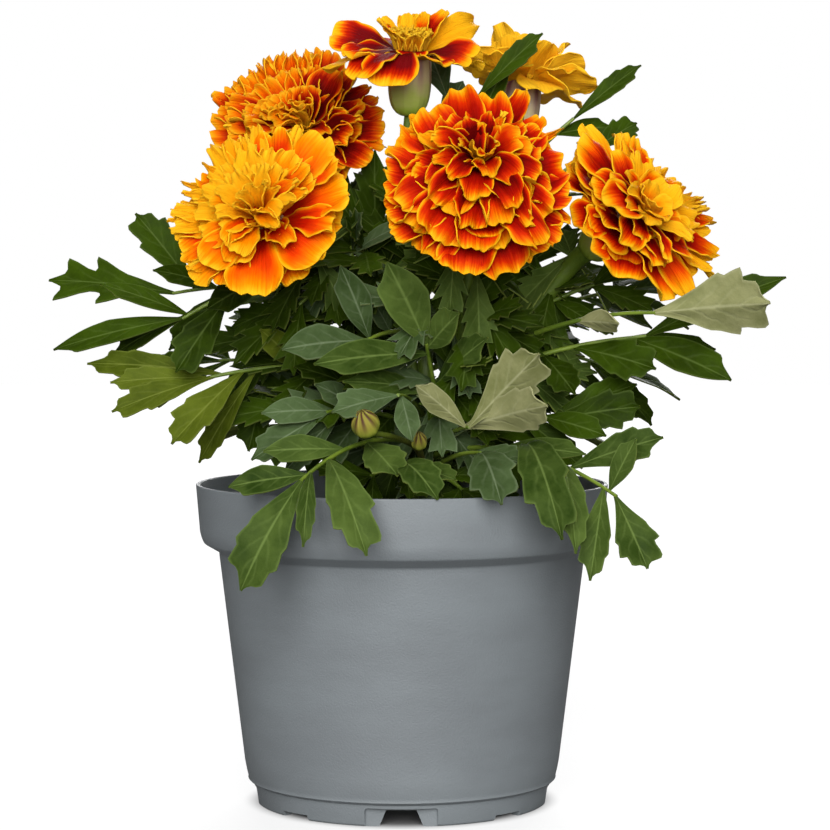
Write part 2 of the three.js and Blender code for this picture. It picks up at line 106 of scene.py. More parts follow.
def open_mesh(piece):
    """Opens a piece's mesh for edits on its vertices."""
    take(piece)
    bpy.ops.object.mode_set(mode="EDIT")
    bpy.ops.mesh.select_mode(type="VERT")


def close_mesh():
    bpy.ops.object.mode_set(mode="OBJECT")


def pick(test):
    """Selects the vertices of the open mesh that pass the test."""
    data = bpy.context.object.data
    mesh = bmesh.from_edit_mesh(data)
    for vertex in mesh.verts:
        vertex.select = test(vertex)
    mesh.select_flush_mode()
    bmesh.update_edit_mesh(data)


def move(step):
    bpy.ops.transform.translate(value=step)


def widen(x, y=1.0, z=1.0, about=(0, 0, 0)):
    bpy.ops.transform.resize(value=(x, y, z), center_override=about)


def place_down():
    """Puts the active piece's place, turn and scale into its mesh."""
    bpy.ops.object.transform_apply(location=True, rotation=True, scale=True)


def work(piece, kind, **settings):
    """Adds one modifier with these settings and applies it."""
    step = piece.modifiers.new(kind, kind)
    for name, value in settings.items():
        setattr(step, name, value)
    take(piece)
    bpy.ops.object.modifier_apply(modifier=step.name)


def copy_of(master):
    """A copy with a mesh of its own."""
    copy = master.copy()
    copy.data = master.data.copy()
    bpy.context.collection.objects.link(copy)
    return copy


def scrap(*pieces):
    for piece in pieces:
        bpy.data.objects.remove(piece)


def gather(name, parts):
    """Joins the parts into one piece that has its place in its mesh."""
    deselect()
    for part in parts:
        part.select_set(True)
    bpy.context.view_layer.objects.active = parts[0]
    place_down()
    if len(parts) > 1:
        bpy.ops.object.join()
    piece = bpy.context.object
    piece.name = name
    return piece


def smooth(piece, angle=50):
    take(piece)
    bpy.ops.object.shade_smooth_by_angle(angle=math.radians(angle))


def stand_for(piece, slot, *nodes):
    """The piece rides with the plant and takes the place of these nodes."""
    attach(piece, "root")
    if nodes:
        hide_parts(*nodes)


def square_to(axis, up):
    """Two directions square to an axis: its side, and its face towards up."""
    side = axis.cross(up).normalized()
    return side, side.cross(axis)


# ---- Lines that stems and leaf stalks follow ----
def bowed(start, lift, end, steps=14):
    """A line from start to end that bends towards lift."""
    line = []
    for i in range(steps + 1):
        t = i / steps
        line.append(start * (1 - t) ** 2 + lift * 2 * t * (1 - t) + end * t * t)
    return line


def through(points, steps=10):
    """A smooth line through all the points."""
    padded = [points[0] * 2 - points[1], *points, points[-1] * 2 - points[-2]]
    line = [points[0]]
    for a, b, c, d in zip(padded, padded[1:], padded[2:], padded[3:]):
        for i in range(1, steps + 1):
            t = i / steps
            swing = (c - a) * t + (a * 2 - b * 5 + c * 4 - d) * t**2 + (b * 3 - a - c * 3 + d) * t**3
            line.append(b + swing * 0.5)
    return line


def walk(line, share):
    """The point and the direction at a share of the line's length."""
    spans = [(b - a).length for a, b in zip(line, line[1:])]
    left = share * sum(spans)
    for a, b, span in zip(line, line[1:], spans):
        if left <= span or b is line[-1]:
            return a + (b - a) * (left / span), (b - a).normalized()
        left -= span


# ---- Shader tools ----
def hex_colour(code):
    """A screen colour such as d8480c as linear red, green, blue and alpha."""
    levels = [int(code[i : i + 2], 16) / 255 for i in (0, 2, 4)]
    return (*[c / 12.92 if c <= 0.04045 else ((c + 0.055) / 1.055) ** 2.4 for c in levels], 1)


def wire(tree, socket, value):
    """Links a socket to another's output, or sets it to a plain value."""
    if isinstance(value, bpy.types.NodeSocket):
        tree.links.new(value, socket)
    else:
        socket.default_value = value


def calc(tree, operation, *values, clamp=False):
    """One sum on values or sockets."""
    node = tree.nodes.new("ShaderNodeMath")
    node.operation = operation
    node.use_clamp = clamp
    for socket, value in zip(node.inputs, values):
        wire(tree, socket, value)
    return node.outputs[0]


def step_up(tree, value, low, high):
    """0 below low, 1 above high, and a soft rise between."""
    node = tree.nodes.new("ShaderNodeMapRange")
    node.interpolation_type = "SMOOTHSTEP"
    for name, setting in (("Value", value), ("From Min", low), ("From Max", high)):
        wire(tree, node.inputs[name], setting)
    return node.outputs["Result"]


def one_less(tree, value):
    """How much a value lacks of 1."""
    return calc(tree, "SUBTRACT", 1.0, value)


def times(tree, a, b):
    return calc(tree, "MULTIPLY", a, b)


def noise(tree, vector, scale, detail=3.0, roughness=0.5):
    node = tree.nodes.new("ShaderNodeTexNoise")
    wire(tree, node.inputs["Vector"], vector)
    wire(tree, node.inputs["Scale"], scale)
    node.inputs["Detail"].default_value = detail
    node.inputs["Roughness"].default_value = roughness
    return node.outputs["Fac"]


def blend(tree, share, a, b, way="MIX"):
    node = tree.nodes.new("ShaderNodeMix")
    node.data_type = "RGBA"
    node.blend_type = way
    wire(tree, node.inputs["Factor"], share)
    wire(tree, node.inputs["A"], a)
    wire(tree, node.inputs["B"], b)
    return node.outputs["Result"]


def ramp(tree, value, stops):
    """A colour for each value, from (position, colour code) stops."""
    node = tree.nodes.new("ShaderNodeValToRGB")
    wire(tree, node.inputs["Fac"], value)
    band = node.color_ramp
    band.elements[0].position, band.elements[1].position = stops[0][0], stops[-1][0]
    band.elements[0].color, band.elements[1].color = hex_colour(stops[0][1]), hex_colour(stops[-1][1])
    for position, code in stops[1:-1]:
        band.elements.new(position).color = hex_colour(code)
    return node.outputs["Color"]


def stretched(tree, vector, x, y, z):
    node = tree.nodes.new("ShaderNodeMapping")
    wire(tree, node.inputs["Vector"], vector)
    node.inputs["Scale"].default_value = (x, y, z)
    return node.outputs["Vector"]


def joined(tree, x, y, z):
    node = tree.nodes.new("ShaderNodeCombineXYZ")
    for socket, value in zip(node.inputs, (x, y, z)):
        wire(tree, socket, value)
    return node.outputs["Vector"]


def on_object(tree):
    return tree.nodes.new("ShaderNodeTexCoord").outputs["Object"]


def across_and_along(tree):
    """The blade's own map: across from rim to rim, and along from foot to end."""
    own_map = tree.nodes.new("ShaderNodeUVMap")
    own_map.uv_map = "UVMap"
    parts = tree.nodes.new("ShaderNodeSeparateXYZ")
    tree.links.new(own_map.outputs["UV"], parts.inputs["Vector"])
    return parts.outputs["X"], parts.outputs["Y"]


def tone_of(tree):
    """The number that each petal and leaflet has of its own, from 0 to 1."""
    node = tree.nodes.new("ShaderNodeAttribute")
    node.attribute_name = "tone"
    return node.outputs["Fac"]


def new_group(name, inputs, outputs):
    tree = bpy.data.node_groups.new(name, "ShaderNodeTree")
    for label, value in inputs:
        socket = tree.interface.new_socket(label, in_out="INPUT", socket_type="NodeSocketFloat")
        socket.default_value = value
    for label in outputs:
        tree.interface.new_socket(label, in_out="OUTPUT", socket_type="NodeSocketFloat")
    return tree, tree.nodes.new("NodeGroupInput").outputs, tree.nodes.new("NodeGroupOutput").inputs


def use_group(tree, group, **values):
    """The outputs of a group's node, with these inputs set."""
    node = tree.nodes.new("ShaderNodeGroup")
    node.node_tree = group
    for name, value in values.items():
        wire(tree, node.inputs[name.replace("_", " ")], value)
    return node.outputs


def off_middle(tree, across):
    """0 on the middle line of a blade, and 1 at its rims."""
    return calc(tree, "ABSOLUTE", calc(tree, "MULTIPLY_ADD", across, 2.0, -1.0))


def petal_marks():
    """How deep a point lies inside a petal's rim, how near its throat, and its lengthwise veins."""
    tree, given, out = new_group(
        "petal marks",
        [("Feather", 0.2), ("Rim", 0.18), ("Gain", 2.2)],
        ["Depth", "Throat", "Veins"],
    )
    across, along = across_and_along(tree)
    tone = tone_of(tree)
    from_side = times(tree, one_less(tree, off_middle(tree, across)), 1.35)
    from_end = times(tree, one_less(tree, along), 1.3)
    inside = calc(tree, "SMOOTH_MIN", from_side, from_end, 0.25)
    apart = times(tree, tone, 37.0)
    fine = noise(tree, joined(tree, times(tree, across, 17.0), along, apart), 1.6, 4.0, 0.6)
    broad = noise(tree, joined(tree, times(tree, across, 3.0), along, apart), 1.7, 2.0)
    ragged = calc(tree, "ADD", calc(tree, "SUBTRACT", fine, 0.5), calc(tree, "SUBTRACT", broad, 0.5))
    inside = calc(tree, "MULTIPLY_ADD", ragged, given["Feather"], inside)
    rim_share = calc(tree, "DIVIDE", inside, given["Rim"], clamp=True)
    rim = times(tree, rim_share, calc(tree, "MULTIPLY_ADD", tone, 0.34, 0.04))
    beyond = calc(tree, "MAXIMUM", calc(tree, "SUBTRACT", inside, given["Rim"]), 0.0)
    depth = calc(tree, "MULTIPLY_ADD", beyond, calc(tree, "MULTIPLY_ADD", tone, given["Gain"], 0.12), rim)
    wire(tree, out["Depth"], calc(tree, "ADD", depth, 0.0, clamp=True))
    wire(tree, out["Throat"], one_less(tree, step_up(tree, along, 0.05, 0.6)))
    wire(tree, out["Veins"], fine)
    return tree


def leaf_marks():
    """A leaflet's midrib, its side veins, its blotches and its edge."""
    tree, given, out = new_group(
        "leaf marks",
        [("Pairs", 5.0), ("Slant", 1.3)],
        ["Rib", "Vein", "Blotch", "Edge"],
    )
    across, along = across_and_along(tree)
    place = on_object(tree)
    blotch = noise(tree, place, 110.0, 5.0, 0.65)
    off_rib = off_middle(tree, across)
    wire(tree, out["Rib"], one_less(tree, step_up(tree, off_rib, 0.0, 0.11)))
    phase = calc(tree, "SUBTRACT", times(tree, along, given["Pairs"]), times(tree, off_rib, given["Slant"]))
    phase = calc(tree, "MULTIPLY_ADD", noise(tree, place, 240.0, 2.0), 0.7, phase)
    to_vein = calc(tree, "PINGPONG", phase, 0.5)
    line = one_less(tree, step_up(tree, to_vein, 0.0, 0.2))
    fade = one_less(tree, step_up(tree, off_rib, 0.4, 0.95))
    wire(tree, out["Vein"], times(tree, line, fade))
    wire(tree, out["Blotch"], blotch)
    wire(tree, out["Edge"], step_up(tree, off_rib, 0.88, 1.0))
    return tree


def fine_grain():
    """A fine grain, and slow clouds drawn out level."""
    tree, given, out = new_group("fine grain", [("Grain", 1500.0), ("Clouds", 25.0)], ["Height", "Cloud"])
    place = on_object(tree)
    wire(tree, out["Height"], noise(tree, place, given["Grain"], 3.0, 0.6))
    wire(tree, out["Cloud"], noise(tree, stretched(tree, place, 1.0, 1.0, 3.0), given["Clouds"], 4.0, 0.6))
    return tree


PETAL_MARKS = petal_marks()
LEAF_MARKS = leaf_marks()
FINE_GRAIN = fine_grain()


def new_finish(name, **settings):
    """A material with its shader's plain settings made, and the shader's node."""
    finish = bpy.data.materials.new(name)
    finish.use_nodes = True
    shader = finish.node_tree.nodes["Principled BSDF"]
    for label, value in settings.items():
        shader.inputs[label.replace("_", " ")].default_value = value
    return finish, finish.node_tree, shader


def raise_by(tree, shader, height, distance):
    """Lifts the shading by a height of up to this distance."""
    bump = tree.nodes.new("ShaderNodeBump")
    bump.inputs["Distance"].default_value = distance
    bump.inputs["Strength"].default_value = 1.0
    wire(tree, bump.inputs["Height"], height)
    wire(tree, shader.inputs["Normal"], bump.outputs["Normal"])


def petal_finish(name, stops, throat, rim=0.18, gain=2.2, dark=0.75):
    """A petal's upper side, coloured from its rim to its heart by the stops, with a faint painted glow in its
    own warmer colour.
    """
    # The faint glow in the petal's own warmed colour is painted light: it lifts the shade between petals the
    # way light shining through them would.
    finish, tree, shader = new_finish(name, Specular_IOR_Level=0.03, Emission_Strength=0.03)
    marks = use_group(tree, PETAL_MARKS, Feather=0.22, Rim=rim, Gain=gain)
    body = ramp(tree, marks["Depth"], stops)
    by_tone = calc(tree, "MULTIPLY_ADD", tone_of(tree), 0.8, 0.3, clamp=True)
    shade = times(tree, times(tree, marks["Throat"], dark), by_tone)
    colour = blend(tree, shade, body, hex_colour(throat))
    streak = times(tree, step_up(tree, marks["Veins"], 0.5, 0.75), 0.14)
    petal = blend(tree, streak, colour, hex_colour(throat), "MULTIPLY")
    wire(tree, shader.inputs["Base Color"], petal)
    wire(tree, shader.inputs["Emission Color"], blend(tree, 1.0, petal, hex_colour("ffb050"), "MULTIPLY"))
    wire(tree, shader.inputs["Roughness"], calc(tree, "MULTIPLY_ADD", marks["Veins"], 0.25, 0.42))
    raise_by(tree, shader, marks["Veins"], 0.0005)
    return finish


def leaf_finish(name, dark, light, rib, rough=0.5):
    """A leaflet's side, mottled between two greens, with paler ribs and edges."""
    finish, tree, shader = new_finish(name, Specular_IOR_Level=0.03)
    marks = use_group(tree, LEAF_MARKS)
    mottled = times(tree, step_up(tree, marks["Blotch"], 0.3, 0.7), 0.5)
    mixed = calc(tree, "ADD", times(tree, tone_of(tree), 0.5), mottled)
    body = blend(tree, mixed, hex_colour(dark), hex_colour(light))
    veined = blend(tree, times(tree, marks["Vein"], 0.12), body, hex_colour(rib))
    pale = calc(tree, "MAXIMUM", times(tree, marks["Rib"], 0.45), times(tree, marks["Edge"], 0.3))
    colour = blend(tree, pale, veined, hex_colour(rib))
    wire(tree, shader.inputs["Base Color"], colour)
    wire(tree, shader.inputs["Roughness"], calc(tree, "MULTIPLY_ADD", marks["Blotch"], 0.3, rough - 0.15))
    sunk = calc(tree, "MULTIPLY_ADD", marks["Vein"], -0.12, times(tree, marks["Blotch"], 0.6))
    raise_by(tree, shader, sunk, 0.0006)
    return finish


def grained_finish(name, low, high, rough, grain, clouds, height=0.00015):
    """A finish of two near colours with a fine grain."""
    finish, tree, shader = new_finish(name)
    marks = use_group(tree, FINE_GRAIN, Grain=grain, Clouds=clouds)
    share = step_up(tree, marks["Cloud"], 0.3, 0.7)
    wire(tree, shader.inputs["Base Color"], blend(tree, share, hex_colour(low), hex_colour(high)))
    wire(tree, shader.inputs["Roughness"], calc(tree, "MULTIPLY_ADD", marks["Height"], 0.2, rough - 0.1))
    raise_by(tree, shader, marks["Height"], height)
    return finish


def calyx_finish(name, foot, top, flush):
    """Green at the foot, flushed towards the top, with paler ribs."""
    finish, tree, shader = new_finish(name, Specular_IOR_Level=0.15)
    across, along = across_and_along(tree)
    marks = use_group(tree, FINE_GRAIN, Grain=900.0, Clouds=60.0)
    rib = calc(tree, "PINGPONG", times(tree, across, float(CALYX["ribs"])), 0.5)
    upward = calc(tree, "MULTIPLY_ADD", marks["Cloud"], 0.6, calc(tree, "SUBTRACT", along, 0.3))
    body = blend(tree, step_up(tree, upward, 0.1, 0.8), hex_colour(foot), hex_colour(top))
    flushed = times(tree, step_up(tree, rib, 0.15, 0.45), step_up(tree, along, 0.25, 0.95))
    wire(tree, shader.inputs["Base Color"], blend(tree, flushed, body, hex_colour(flush)))
    wire(tree, shader.inputs["Roughness"], calc(tree, "MULTIPLY_ADD", marks["Height"], 0.2, 0.35))
    raise_by(tree, shader, rib, 0.0008)
    return finish


def stem_finish():
    """Green stems that turn reddish brown low on the plant."""
    finish, tree, shader = new_finish("stem green")
    place = on_object(tree)
    parts = tree.nodes.new("ShaderNodeSeparateXYZ")
    tree.links.new(place, parts.inputs["Vector"])
    marks = use_group(tree, FINE_GRAIN, Grain=1200.0, Clouds=90.0)
    green = blend(tree, marks["Cloud"], hex_colour("3c4c10"), hex_colour("66801f"))
    low = one_less(tree, step_up(tree, parts.outputs["Z"], 0.085, 0.118))
    wire(tree, shader.inputs["Base Color"], blend(tree, low, green, hex_colour("5a2f20")))
    wire(tree, shader.inputs["Roughness"], calc(tree, "MULTIPLY_ADD", marks["Height"], 0.2, 0.4))
    raise_by(tree, shader, marks["Height"], 0.0002)
    return finish


# ---- Finishes ----
POT_GREY = grained_finish("pot grey", "6b7073", "73797c", 0.56, 1800.0, 18.0, 0.00012)
PEAT = grained_finish("dark peat", "140d08", "2e2016", 0.95, 700.0, 220.0, 0.001)
STEM_GREEN = stem_finish()
PETIOLE_GREEN = grained_finish("petiole green", "4c6216", "758a2c", 0.45, 1200.0, 90.0)
CALYX_GREEN = calyx_finish("calyx green", "8a9e34", "bcaa80", "926e66")
CALYX_PURPLE = calyx_finish("calyx purple", "a8a070", "c8b29c", "7e5266")
BUD_GREEN = calyx_finish("bud green", "98a63a", "8a8236", "482624")

# The dark, light and rib colours of each kind of leaf, above and below, and how rough it is below.
# The dark kind is a darker copy of the leaf greens for leaves that stand in shade: painted shade. The grey kind
# is a greyer copy that carries the leaves' sheen: a painted sheen.
LEAF_PAINTS = {
    kind: (leaf_finish("leaf " + kind, *above), leaf_finish("leaf " + kind + " under", *below, rough))
    for kind, above, below, rough in (
        ("dark", ("182402", "344808", "5a6c34"), ("3a4614", "545f22", "6c763c"), 0.6),
        ("grey", ("2a3a18", "50623e", "7a886a"), ("4a5630", "626e44", "7c8758"), 0.6),
        ("olive", ("303c04", "56621a", "78823a"), ("4a541c", "646e2c", "80884a"), 0.6),
        ("bright", ("1e3008", "4c5e28", "748848"), ("46561c", "627230", "86904c"), 0.6),
        ("pale", ("344414", "526628", "78883c"), ("686c40", "949468", "b0b088"), 0.65),
    )
}

PETAL_UNDER = petal_finish(
    "petal under",
    [(0.0, "e8b422"), (0.3, "e0a418"), (0.7, "d49212"), (1.0, "b8780c")],
    "a07818",
    dark=0.25,
)
DISC_GOLD = petal_finish("disc gold", [(0.0, "e8ba28"), (0.5, "e29e16"), (1.0, "cc7c0c")], "b85a0a", dark=0.5)
# For each head: its colours from a petal's rim (0) to its heart (1), its throat, and settings of its own.
PETAL_PAINTS = {
    head: petal_finish("petal " + colour, stops, throat, **settings)
    for head, colour, stops, throat, settings in (
        ("front", "red",
         [(0.0, "e4a814"), (0.09, "e08604"), (0.18, "d45400"),
          (0.3, "c02600"), (0.5, "980c00"), (1.0, "580302")],
         "38000a", {}),
        ("left_front", "golden",
         [(0.0, "e8b01c"), (0.06, "e6a010"), (0.16, "e48200"),
          (0.36, "dc5e00"), (0.62, "cc3400"), (1.0, "ac1400")],
         "8e1800", {"rim": 0.2, "dark": 0.65}),
        # The stronger gain takes this head's petals deeper into maroon: partly their own colour, partly painted
        # shade for the petals that sit in shade.
        ("left_back", "orange",
         [(0.0, "dea018"), (0.07, "da8408"), (0.15, "d26400"),
          (0.28, "ba3600"), (0.48, "8e0e00"), (1.0, "520402")],
         "460404", {"gain": 2.6}),
        ("top", "maroon",
         [(0.0, "eab01a"), (0.17, "e89806"), (0.32, "d85000"),
          (0.5, "b01a00"), (0.8, "860802"), (1.0, "6a0408")],
         "3c0008", {}),
        ("right", "flame",
         [(0.0, "eab21c"), (0.12, "e89e0c"), (0.23, "e07400"),
          (0.38, "d23e00"), (0.64, "a81200"), (1.0, "700402")],
         "460208", {"rim": 0.2}),
        ("right_back", "amber",
         [(0.0, "e6b422"), (0.3, "e09a14"), (0.6, "d06404"), (1.0, "a82c00")],
         "8a2404", {}),
    )
}


# ---- Blades: petals and leaflets cut from flat sheets ----
def flat_sheet(name, columns, rows):
    """A sheet one unit wide and one unit tall, standing on its lower edge with its face to the front."""
    deselect()
    bpy.ops.mesh.primitive_grid_add(
        x_subdivisions=columns, y_subdivisions=rows, size=1, location=(0, 0, 0.5), rotation=(math.pi / 2, 0, 0)
    )
    sheet = bpy.context.object
    sheet.name = name
    place_down()
    sheet.data.attributes.new("tone", "FLOAT", "POINT")
    return sheet


def cut_outline(columns, left, right):
    """Draws each row of the open sheet in to its width on either side."""
    middle = columns / 2
    for row, widths in enumerate(zip(left, right)):
        for width, on_side in zip(widths, (lambda c: c < middle, lambda c: c > middle)):
            pick(lambda v: v.index // (columns + 1) == row and on_side(v.index % (columns + 1)))
            widen(width)


def nudge(columns, row, column, step):
    """Moves one vertex of the open sheet."""
    pick(lambda v: v.index == row * (columns + 1) + column)
    move(step)


PETAL_COLUMNS = 10
# How far the end's waves reach into the last three rows, their pace, the sides' pace and the middle's rise.
PETAL_END = {"rows": (1.0, 0.7, 0.4), "slow": 1.0, "fast": 1.6, "uneven": 0.012, "side_pace": 1.5,
             "middle": 0.012}
ROUND = 6.3  # about a full turn in radians
# For each kind of petal: the width of each row from foot to end, the height of each column's end, and how much
# the rim waves.
PETAL_CUTS = {
    "broad": ([0.2, 0.3, 0.46, 0.64, 0.8, 0.92, 0.99, 1.0, 0.97, 0.86],
              [-0.15, -0.05, -0.01, 0.0, 0.01, -0.02, 0.0, 0.01, -0.01, -0.06, -0.15], 0.05),
    "fan": ([0.16, 0.26, 0.42, 0.6, 0.78, 0.93, 1.02, 1.06, 1.02, 0.9],
            [-0.16, -0.05, -0.01, 0.01, -0.03, -0.11, -0.04, 0.01, -0.01, -0.06, -0.16], 0.06),
    "wavy": ([0.2, 0.32, 0.48, 0.66, 0.82, 0.95, 1.02, 1.03, 1.0, 0.9],
             [-0.14, -0.05, -0.03, 0.01, 0.0, -0.05, -0.03, 0.02, 0.0, -0.05, -0.14], 0.085),
    "ragged": ([0.22, 0.32, 0.46, 0.6, 0.74, 0.86, 0.95, 1.0, 1.0, 0.94],
               [-0.15, -0.05, -0.08, 0.02, -0.04, 0.04, -0.06, 0.01, -0.08, -0.03, -0.15], 0.06),
    "tongue": ([0.35, 0.5, 0.65, 0.78, 0.88, 0.96, 1.0, 0.98, 0.88, 0.7],
               [-0.15, -0.06, -0.02, 0.0, 0.01, 0.01, 0.0, -0.01, -0.03, -0.07, -0.16], 0.04),
    "pointed": ([0.3, 0.5, 0.7, 0.86, 0.96, 1.0, 0.93, 0.78, 0.58, 0.34],
                [-0.1, -0.06, -0.03, 0.0, 0.02, 0.03, 0.02, 0.0, -0.03, -0.07, -0.12], 0.04),
}


def petal_master(kind, chance):
    """A flat petal, one unit long, with a rim that waves by chance."""
    widths, ends, wave = PETAL_CUTS[kind]
    rows = len(widths) - 1
    sheet = flat_sheet("petal " + kind, PETAL_COLUMNS, rows)
    open_mesh(sheet)
    cut_outline(PETAL_COLUMNS, widths, widths)
    pace, start = chance.uniform(PETAL_END["slow"], PETAL_END["fast"]), chance.uniform(0, ROUND)
    for column, height in enumerate(ends):
        ripple = wave * math.sin(start + pace * column)
        for back, share in enumerate(PETAL_END["rows"]):
            uneven = chance.uniform(-PETAL_END["uneven"], PETAL_END["uneven"])
            nudge(PETAL_COLUMNS, rows - back, column, (0, ripple * share, (height + uneven) * share))
    for column, inner in ((0, 1), (PETAL_COLUMNS, PETAL_COLUMNS - 1)):
        start = chance.uniform(0, ROUND)
        for row in range(3, rows - 2):
            ripple = wave * math.sin(start + PETAL_END["side_pace"] * row)
            nudge(PETAL_COLUMNS, row, column, (0, ripple, 0))
            nudge(PETAL_COLUMNS, row, inner, (0, ripple * 0.5, 0))
    pick(lambda v: v.index % (PETAL_COLUMNS + 1) == PETAL_COLUMNS // 2)
    move((0, PETAL_END["middle"], 0))
    close_mesh()
    return sheet


LEAFLET_COLUMNS = 6
# How far a tooth takes the next column with it, outwards and forwards, and how deep the folds are.
TOOTH_PULL = (0.4, 0.5)
LEAFLET_FOLDS = ((LEAFLET_COLUMNS // 2, 0.035), (1, -0.02), (LEAFLET_COLUMNS - 1, -0.02))
# For each kind of leaflet: the width of each row, and the teeth of either side as row: (outwards, forwards).
LEAFLET_CUTS = {
    "plain": ([0.08, 0.22, 0.42, 0.6, 0.76, 0.88, 0.96, 1.0, 0.96, 0.84, 0.64, 0.36, 0.03],
              {9: (0.1, 0.08)}, {6: (0.06, 0.06)}),
    "toothed": ([0.08, 0.17, 0.32, 0.48, 0.62, 0.74, 0.8, 0.84, 0.8, 0.72, 0.54, 0.3, 0.03],
                {6: (0.18, 0.1), 8: (0.22, 0.11), 10: (0.18, 0.09)},
                {5: (0.14, 0.08), 7: (0.22, 0.11), 9: (0.24, 0.11)}),
    "coarse": ([0.07, 0.14, 0.25, 0.38, 0.52, 0.66, 0.74, 0.74, 0.66, 0.56, 0.42, 0.24, 0.03],
               {5: (0.1, 0.06), 7: (0.28, 0.15), 9: (0.2, 0.1), 10: (0.24, 0.13)},
               {6: (0.2, 0.12), 8: (0.34, 0.16), 10: (0.2, 0.1)}),
    "lobed": ([0.07, 0.12, 0.22, 0.34, 0.44, 0.5, 0.5, 0.46, 0.44, 0.44, 0.36, 0.22, 0.03],
              {5: (0.44, 0.18), 9: (0.48, 0.2)},
              {6: (0.46, 0.2), 9: (0.42, 0.18)}),
}


def leaflet_master(kind):
    """A flat leaflet, one unit long, with its teeth and its folded midrib."""
    widths, left, right = LEAFLET_CUTS[kind]
    sheet = flat_sheet("leaflet " + kind, LEAFLET_COLUMNS, len(widths) - 1)
    open_mesh(sheet)
    cut_outline(LEAFLET_COLUMNS, widths, widths)
    for rim, inner, way, teeth in ((0, 1, -1, left), (LEAFLET_COLUMNS, LEAFLET_COLUMNS - 1, 1, right)):
        for row, (out, forward) in teeth.items():
            nudge(LEAFLET_COLUMNS, row, rim, (out * way, 0, forward))
            nudge(LEAFLET_COLUMNS, row, inner, (out * way * TOOTH_PULL[0], 0, forward * TOOTH_PULL[1]))
    for column, depth in LEAFLET_FOLDS:
        pick(lambda v: v.index % (LEAFLET_COLUMNS + 1) == column and v.index > 2 * LEAFLET_COLUMNS)
        move((0, depth, 0))
    close_mesh()
    return sheet


def rolled_tube(name, columns, rows):
    """A sheet rolled into a standing tube of radius 1 and length 1, closed at both ends."""
    tube = flat_sheet(name, columns, rows)
    bend(tube, "Z", 360)
    open_mesh(tube)
    pick(lambda v: True)
    bpy.ops.mesh.remove_doubles(threshold=0.001)
    move((0, -1 / (2 * math.pi), 0))
    widen(2 * math.pi, 2 * math.pi)
    for end in (0.0, 1.0):
        pick(lambda v: abs(v.co.z - end) < 0.001)
        bpy.ops.mesh.edge_face_add()
    pick(lambda v: True)
    bpy.ops.mesh.normals_make_consistent(inside=False)
    close_mesh()
    return tube


def set_tone(piece, tone):
    """Gives the whole piece one tone."""
    values = piece.data.attributes["tone"].data
    values.foreach_set("value", [tone] * len(values))


def bend(piece, axis, angle):
    work(piece, "SIMPLE_DEFORM", deform_method="BEND", deform_axis=axis, angle=math.radians(angle))


def twist(piece, angle):
    work(piece, "SIMPLE_DEFORM", deform_method="TWIST", deform_axis="Z", angle=math.radians(angle))


def tube_along(name, master, line, radius, tip, finish):
    """The tube master drawn along a line and thinned towards its tip."""
    guide = bpy.data.curves.new(name + " guide", "CURVE")
    guide.dimensions = "3D"
    guide.use_stretch = guide.use_deform_bounds = guide.use_radius = True
    spline = guide.splines.new("POLY")
    spline.points.add(len(line) - 1)
    for i, (point, place) in enumerate(zip(spline.points, line)):
        point.co = (*place, 1)
        point.radius = (radius + (tip - radius) * i / (len(line) - 1)) * MM
    rail = bpy.data.objects.new(name + " guide", guide)
    bpy.context.collection.objects.link(rail)
    tube = copy_of(master)
    tube.name = name
    work(tube, "CURVE", object=rail, deform_axis="POS_Z")
    scrap(rail)
    tube.data.materials.append(finish)
    return tube


petal_chance = random.Random(7)
PETALS = {kind: [petal_master(kind, petal_chance) for _ in range(2)] for kind in PETAL_CUTS}
LEAFLETS = {kind: leaflet_master(kind) for kind in LEAFLET_CUTS}
TUBE = rolled_tube("tube", 10, 14)


# ---- Pot ----
def traced(name, points):
    """One mesh line through points given as (radius, height), drawn out one step at a time."""
    deselect()
    bpy.ops.mesh.primitive_plane_add(size=MM)
    line = bpy.context.object
    line.name = name
    open_mesh(line)
    pick(lambda v: True)
    bpy.ops.mesh.merge(type="CENTER")
    pick(lambda v: True)
    move(mm(points[0][0], 0, points[0][1]))
    for (r0, z0), (r1, z1) in zip(points, points[1:]):
        bpy.ops.mesh.extrude_region_move(TRANSFORM_OT_translate={"value": mm(r1 - r0, 0, z1 - z0)})
    return line


def round_corner(radius, height, size):
    """Rounds the corner of the open line that stands at this radius and height."""
    pick(lambda v: (v.co - mm(radius, 0, height)).length < 0.01 * MM)
    bpy.ops.mesh.bevel(affect="VERTICES", offset=size * MM, segments=4)


def spin_round(steps):
    """Spins the open line into a closed shell."""
    pick(lambda v: True)
    bpy.ops.mesh.spin(steps=steps, angle=2 * math.pi, center=(0, 0, 0), axis=(0, 0, 1))
    pick(lambda v: True)
    bpy.ops.mesh.remove_doubles(threshold=0.01 * MM)
    bpy.ops.mesh.normals_make_consistent(inside=False)
    close_mesh()


def foot_cut(azimuth, base_width, top_width, height):
    """A wedge that cuts a slot through the foot ring at an azimuth."""
    depth = 3 * FOOT["width"]
    deselect()
    bpy.ops.mesh.primitive_cube_add(
        size=1,
        location=mm(0, -FOOT["radius"] + depth * 0.3, height / 2 - CUT_BELOW),
        scale=mm(base_width, depth, height + 2 * CUT_BELOW),
    )
    wedge = bpy.context.object
    place_down()
    open_mesh(wedge)
    pick(lambda v: v.co.z > 0)
    widen(top_width / base_width)
    close_mesh()
    wedge.rotation_euler.z = math.radians(azimuth - 270)
    place_down()
    return wedge


def foot_recess(azimuth):
    """A block that cuts a shallow recess round a drain slot."""
    deselect()
    bpy.ops.mesh.primitive_cube_add(
        size=1,
        location=mm(0, -RECESS["face"] - RECESS["depth"] / 2, RECESS["height"] / 2 - CUT_BELOW),
        scale=mm(RECESS["width"], RECESS["depth"], RECESS["height"] + 2 * CUT_BELOW),
    )
    block = bpy.context.object
    place_down()
    work(block, "BEVEL", width=RECESS["round"] * MM, segments=3)
    block.rotation_euler.z = math.radians(azimuth - 270)
    place_down()
    return block


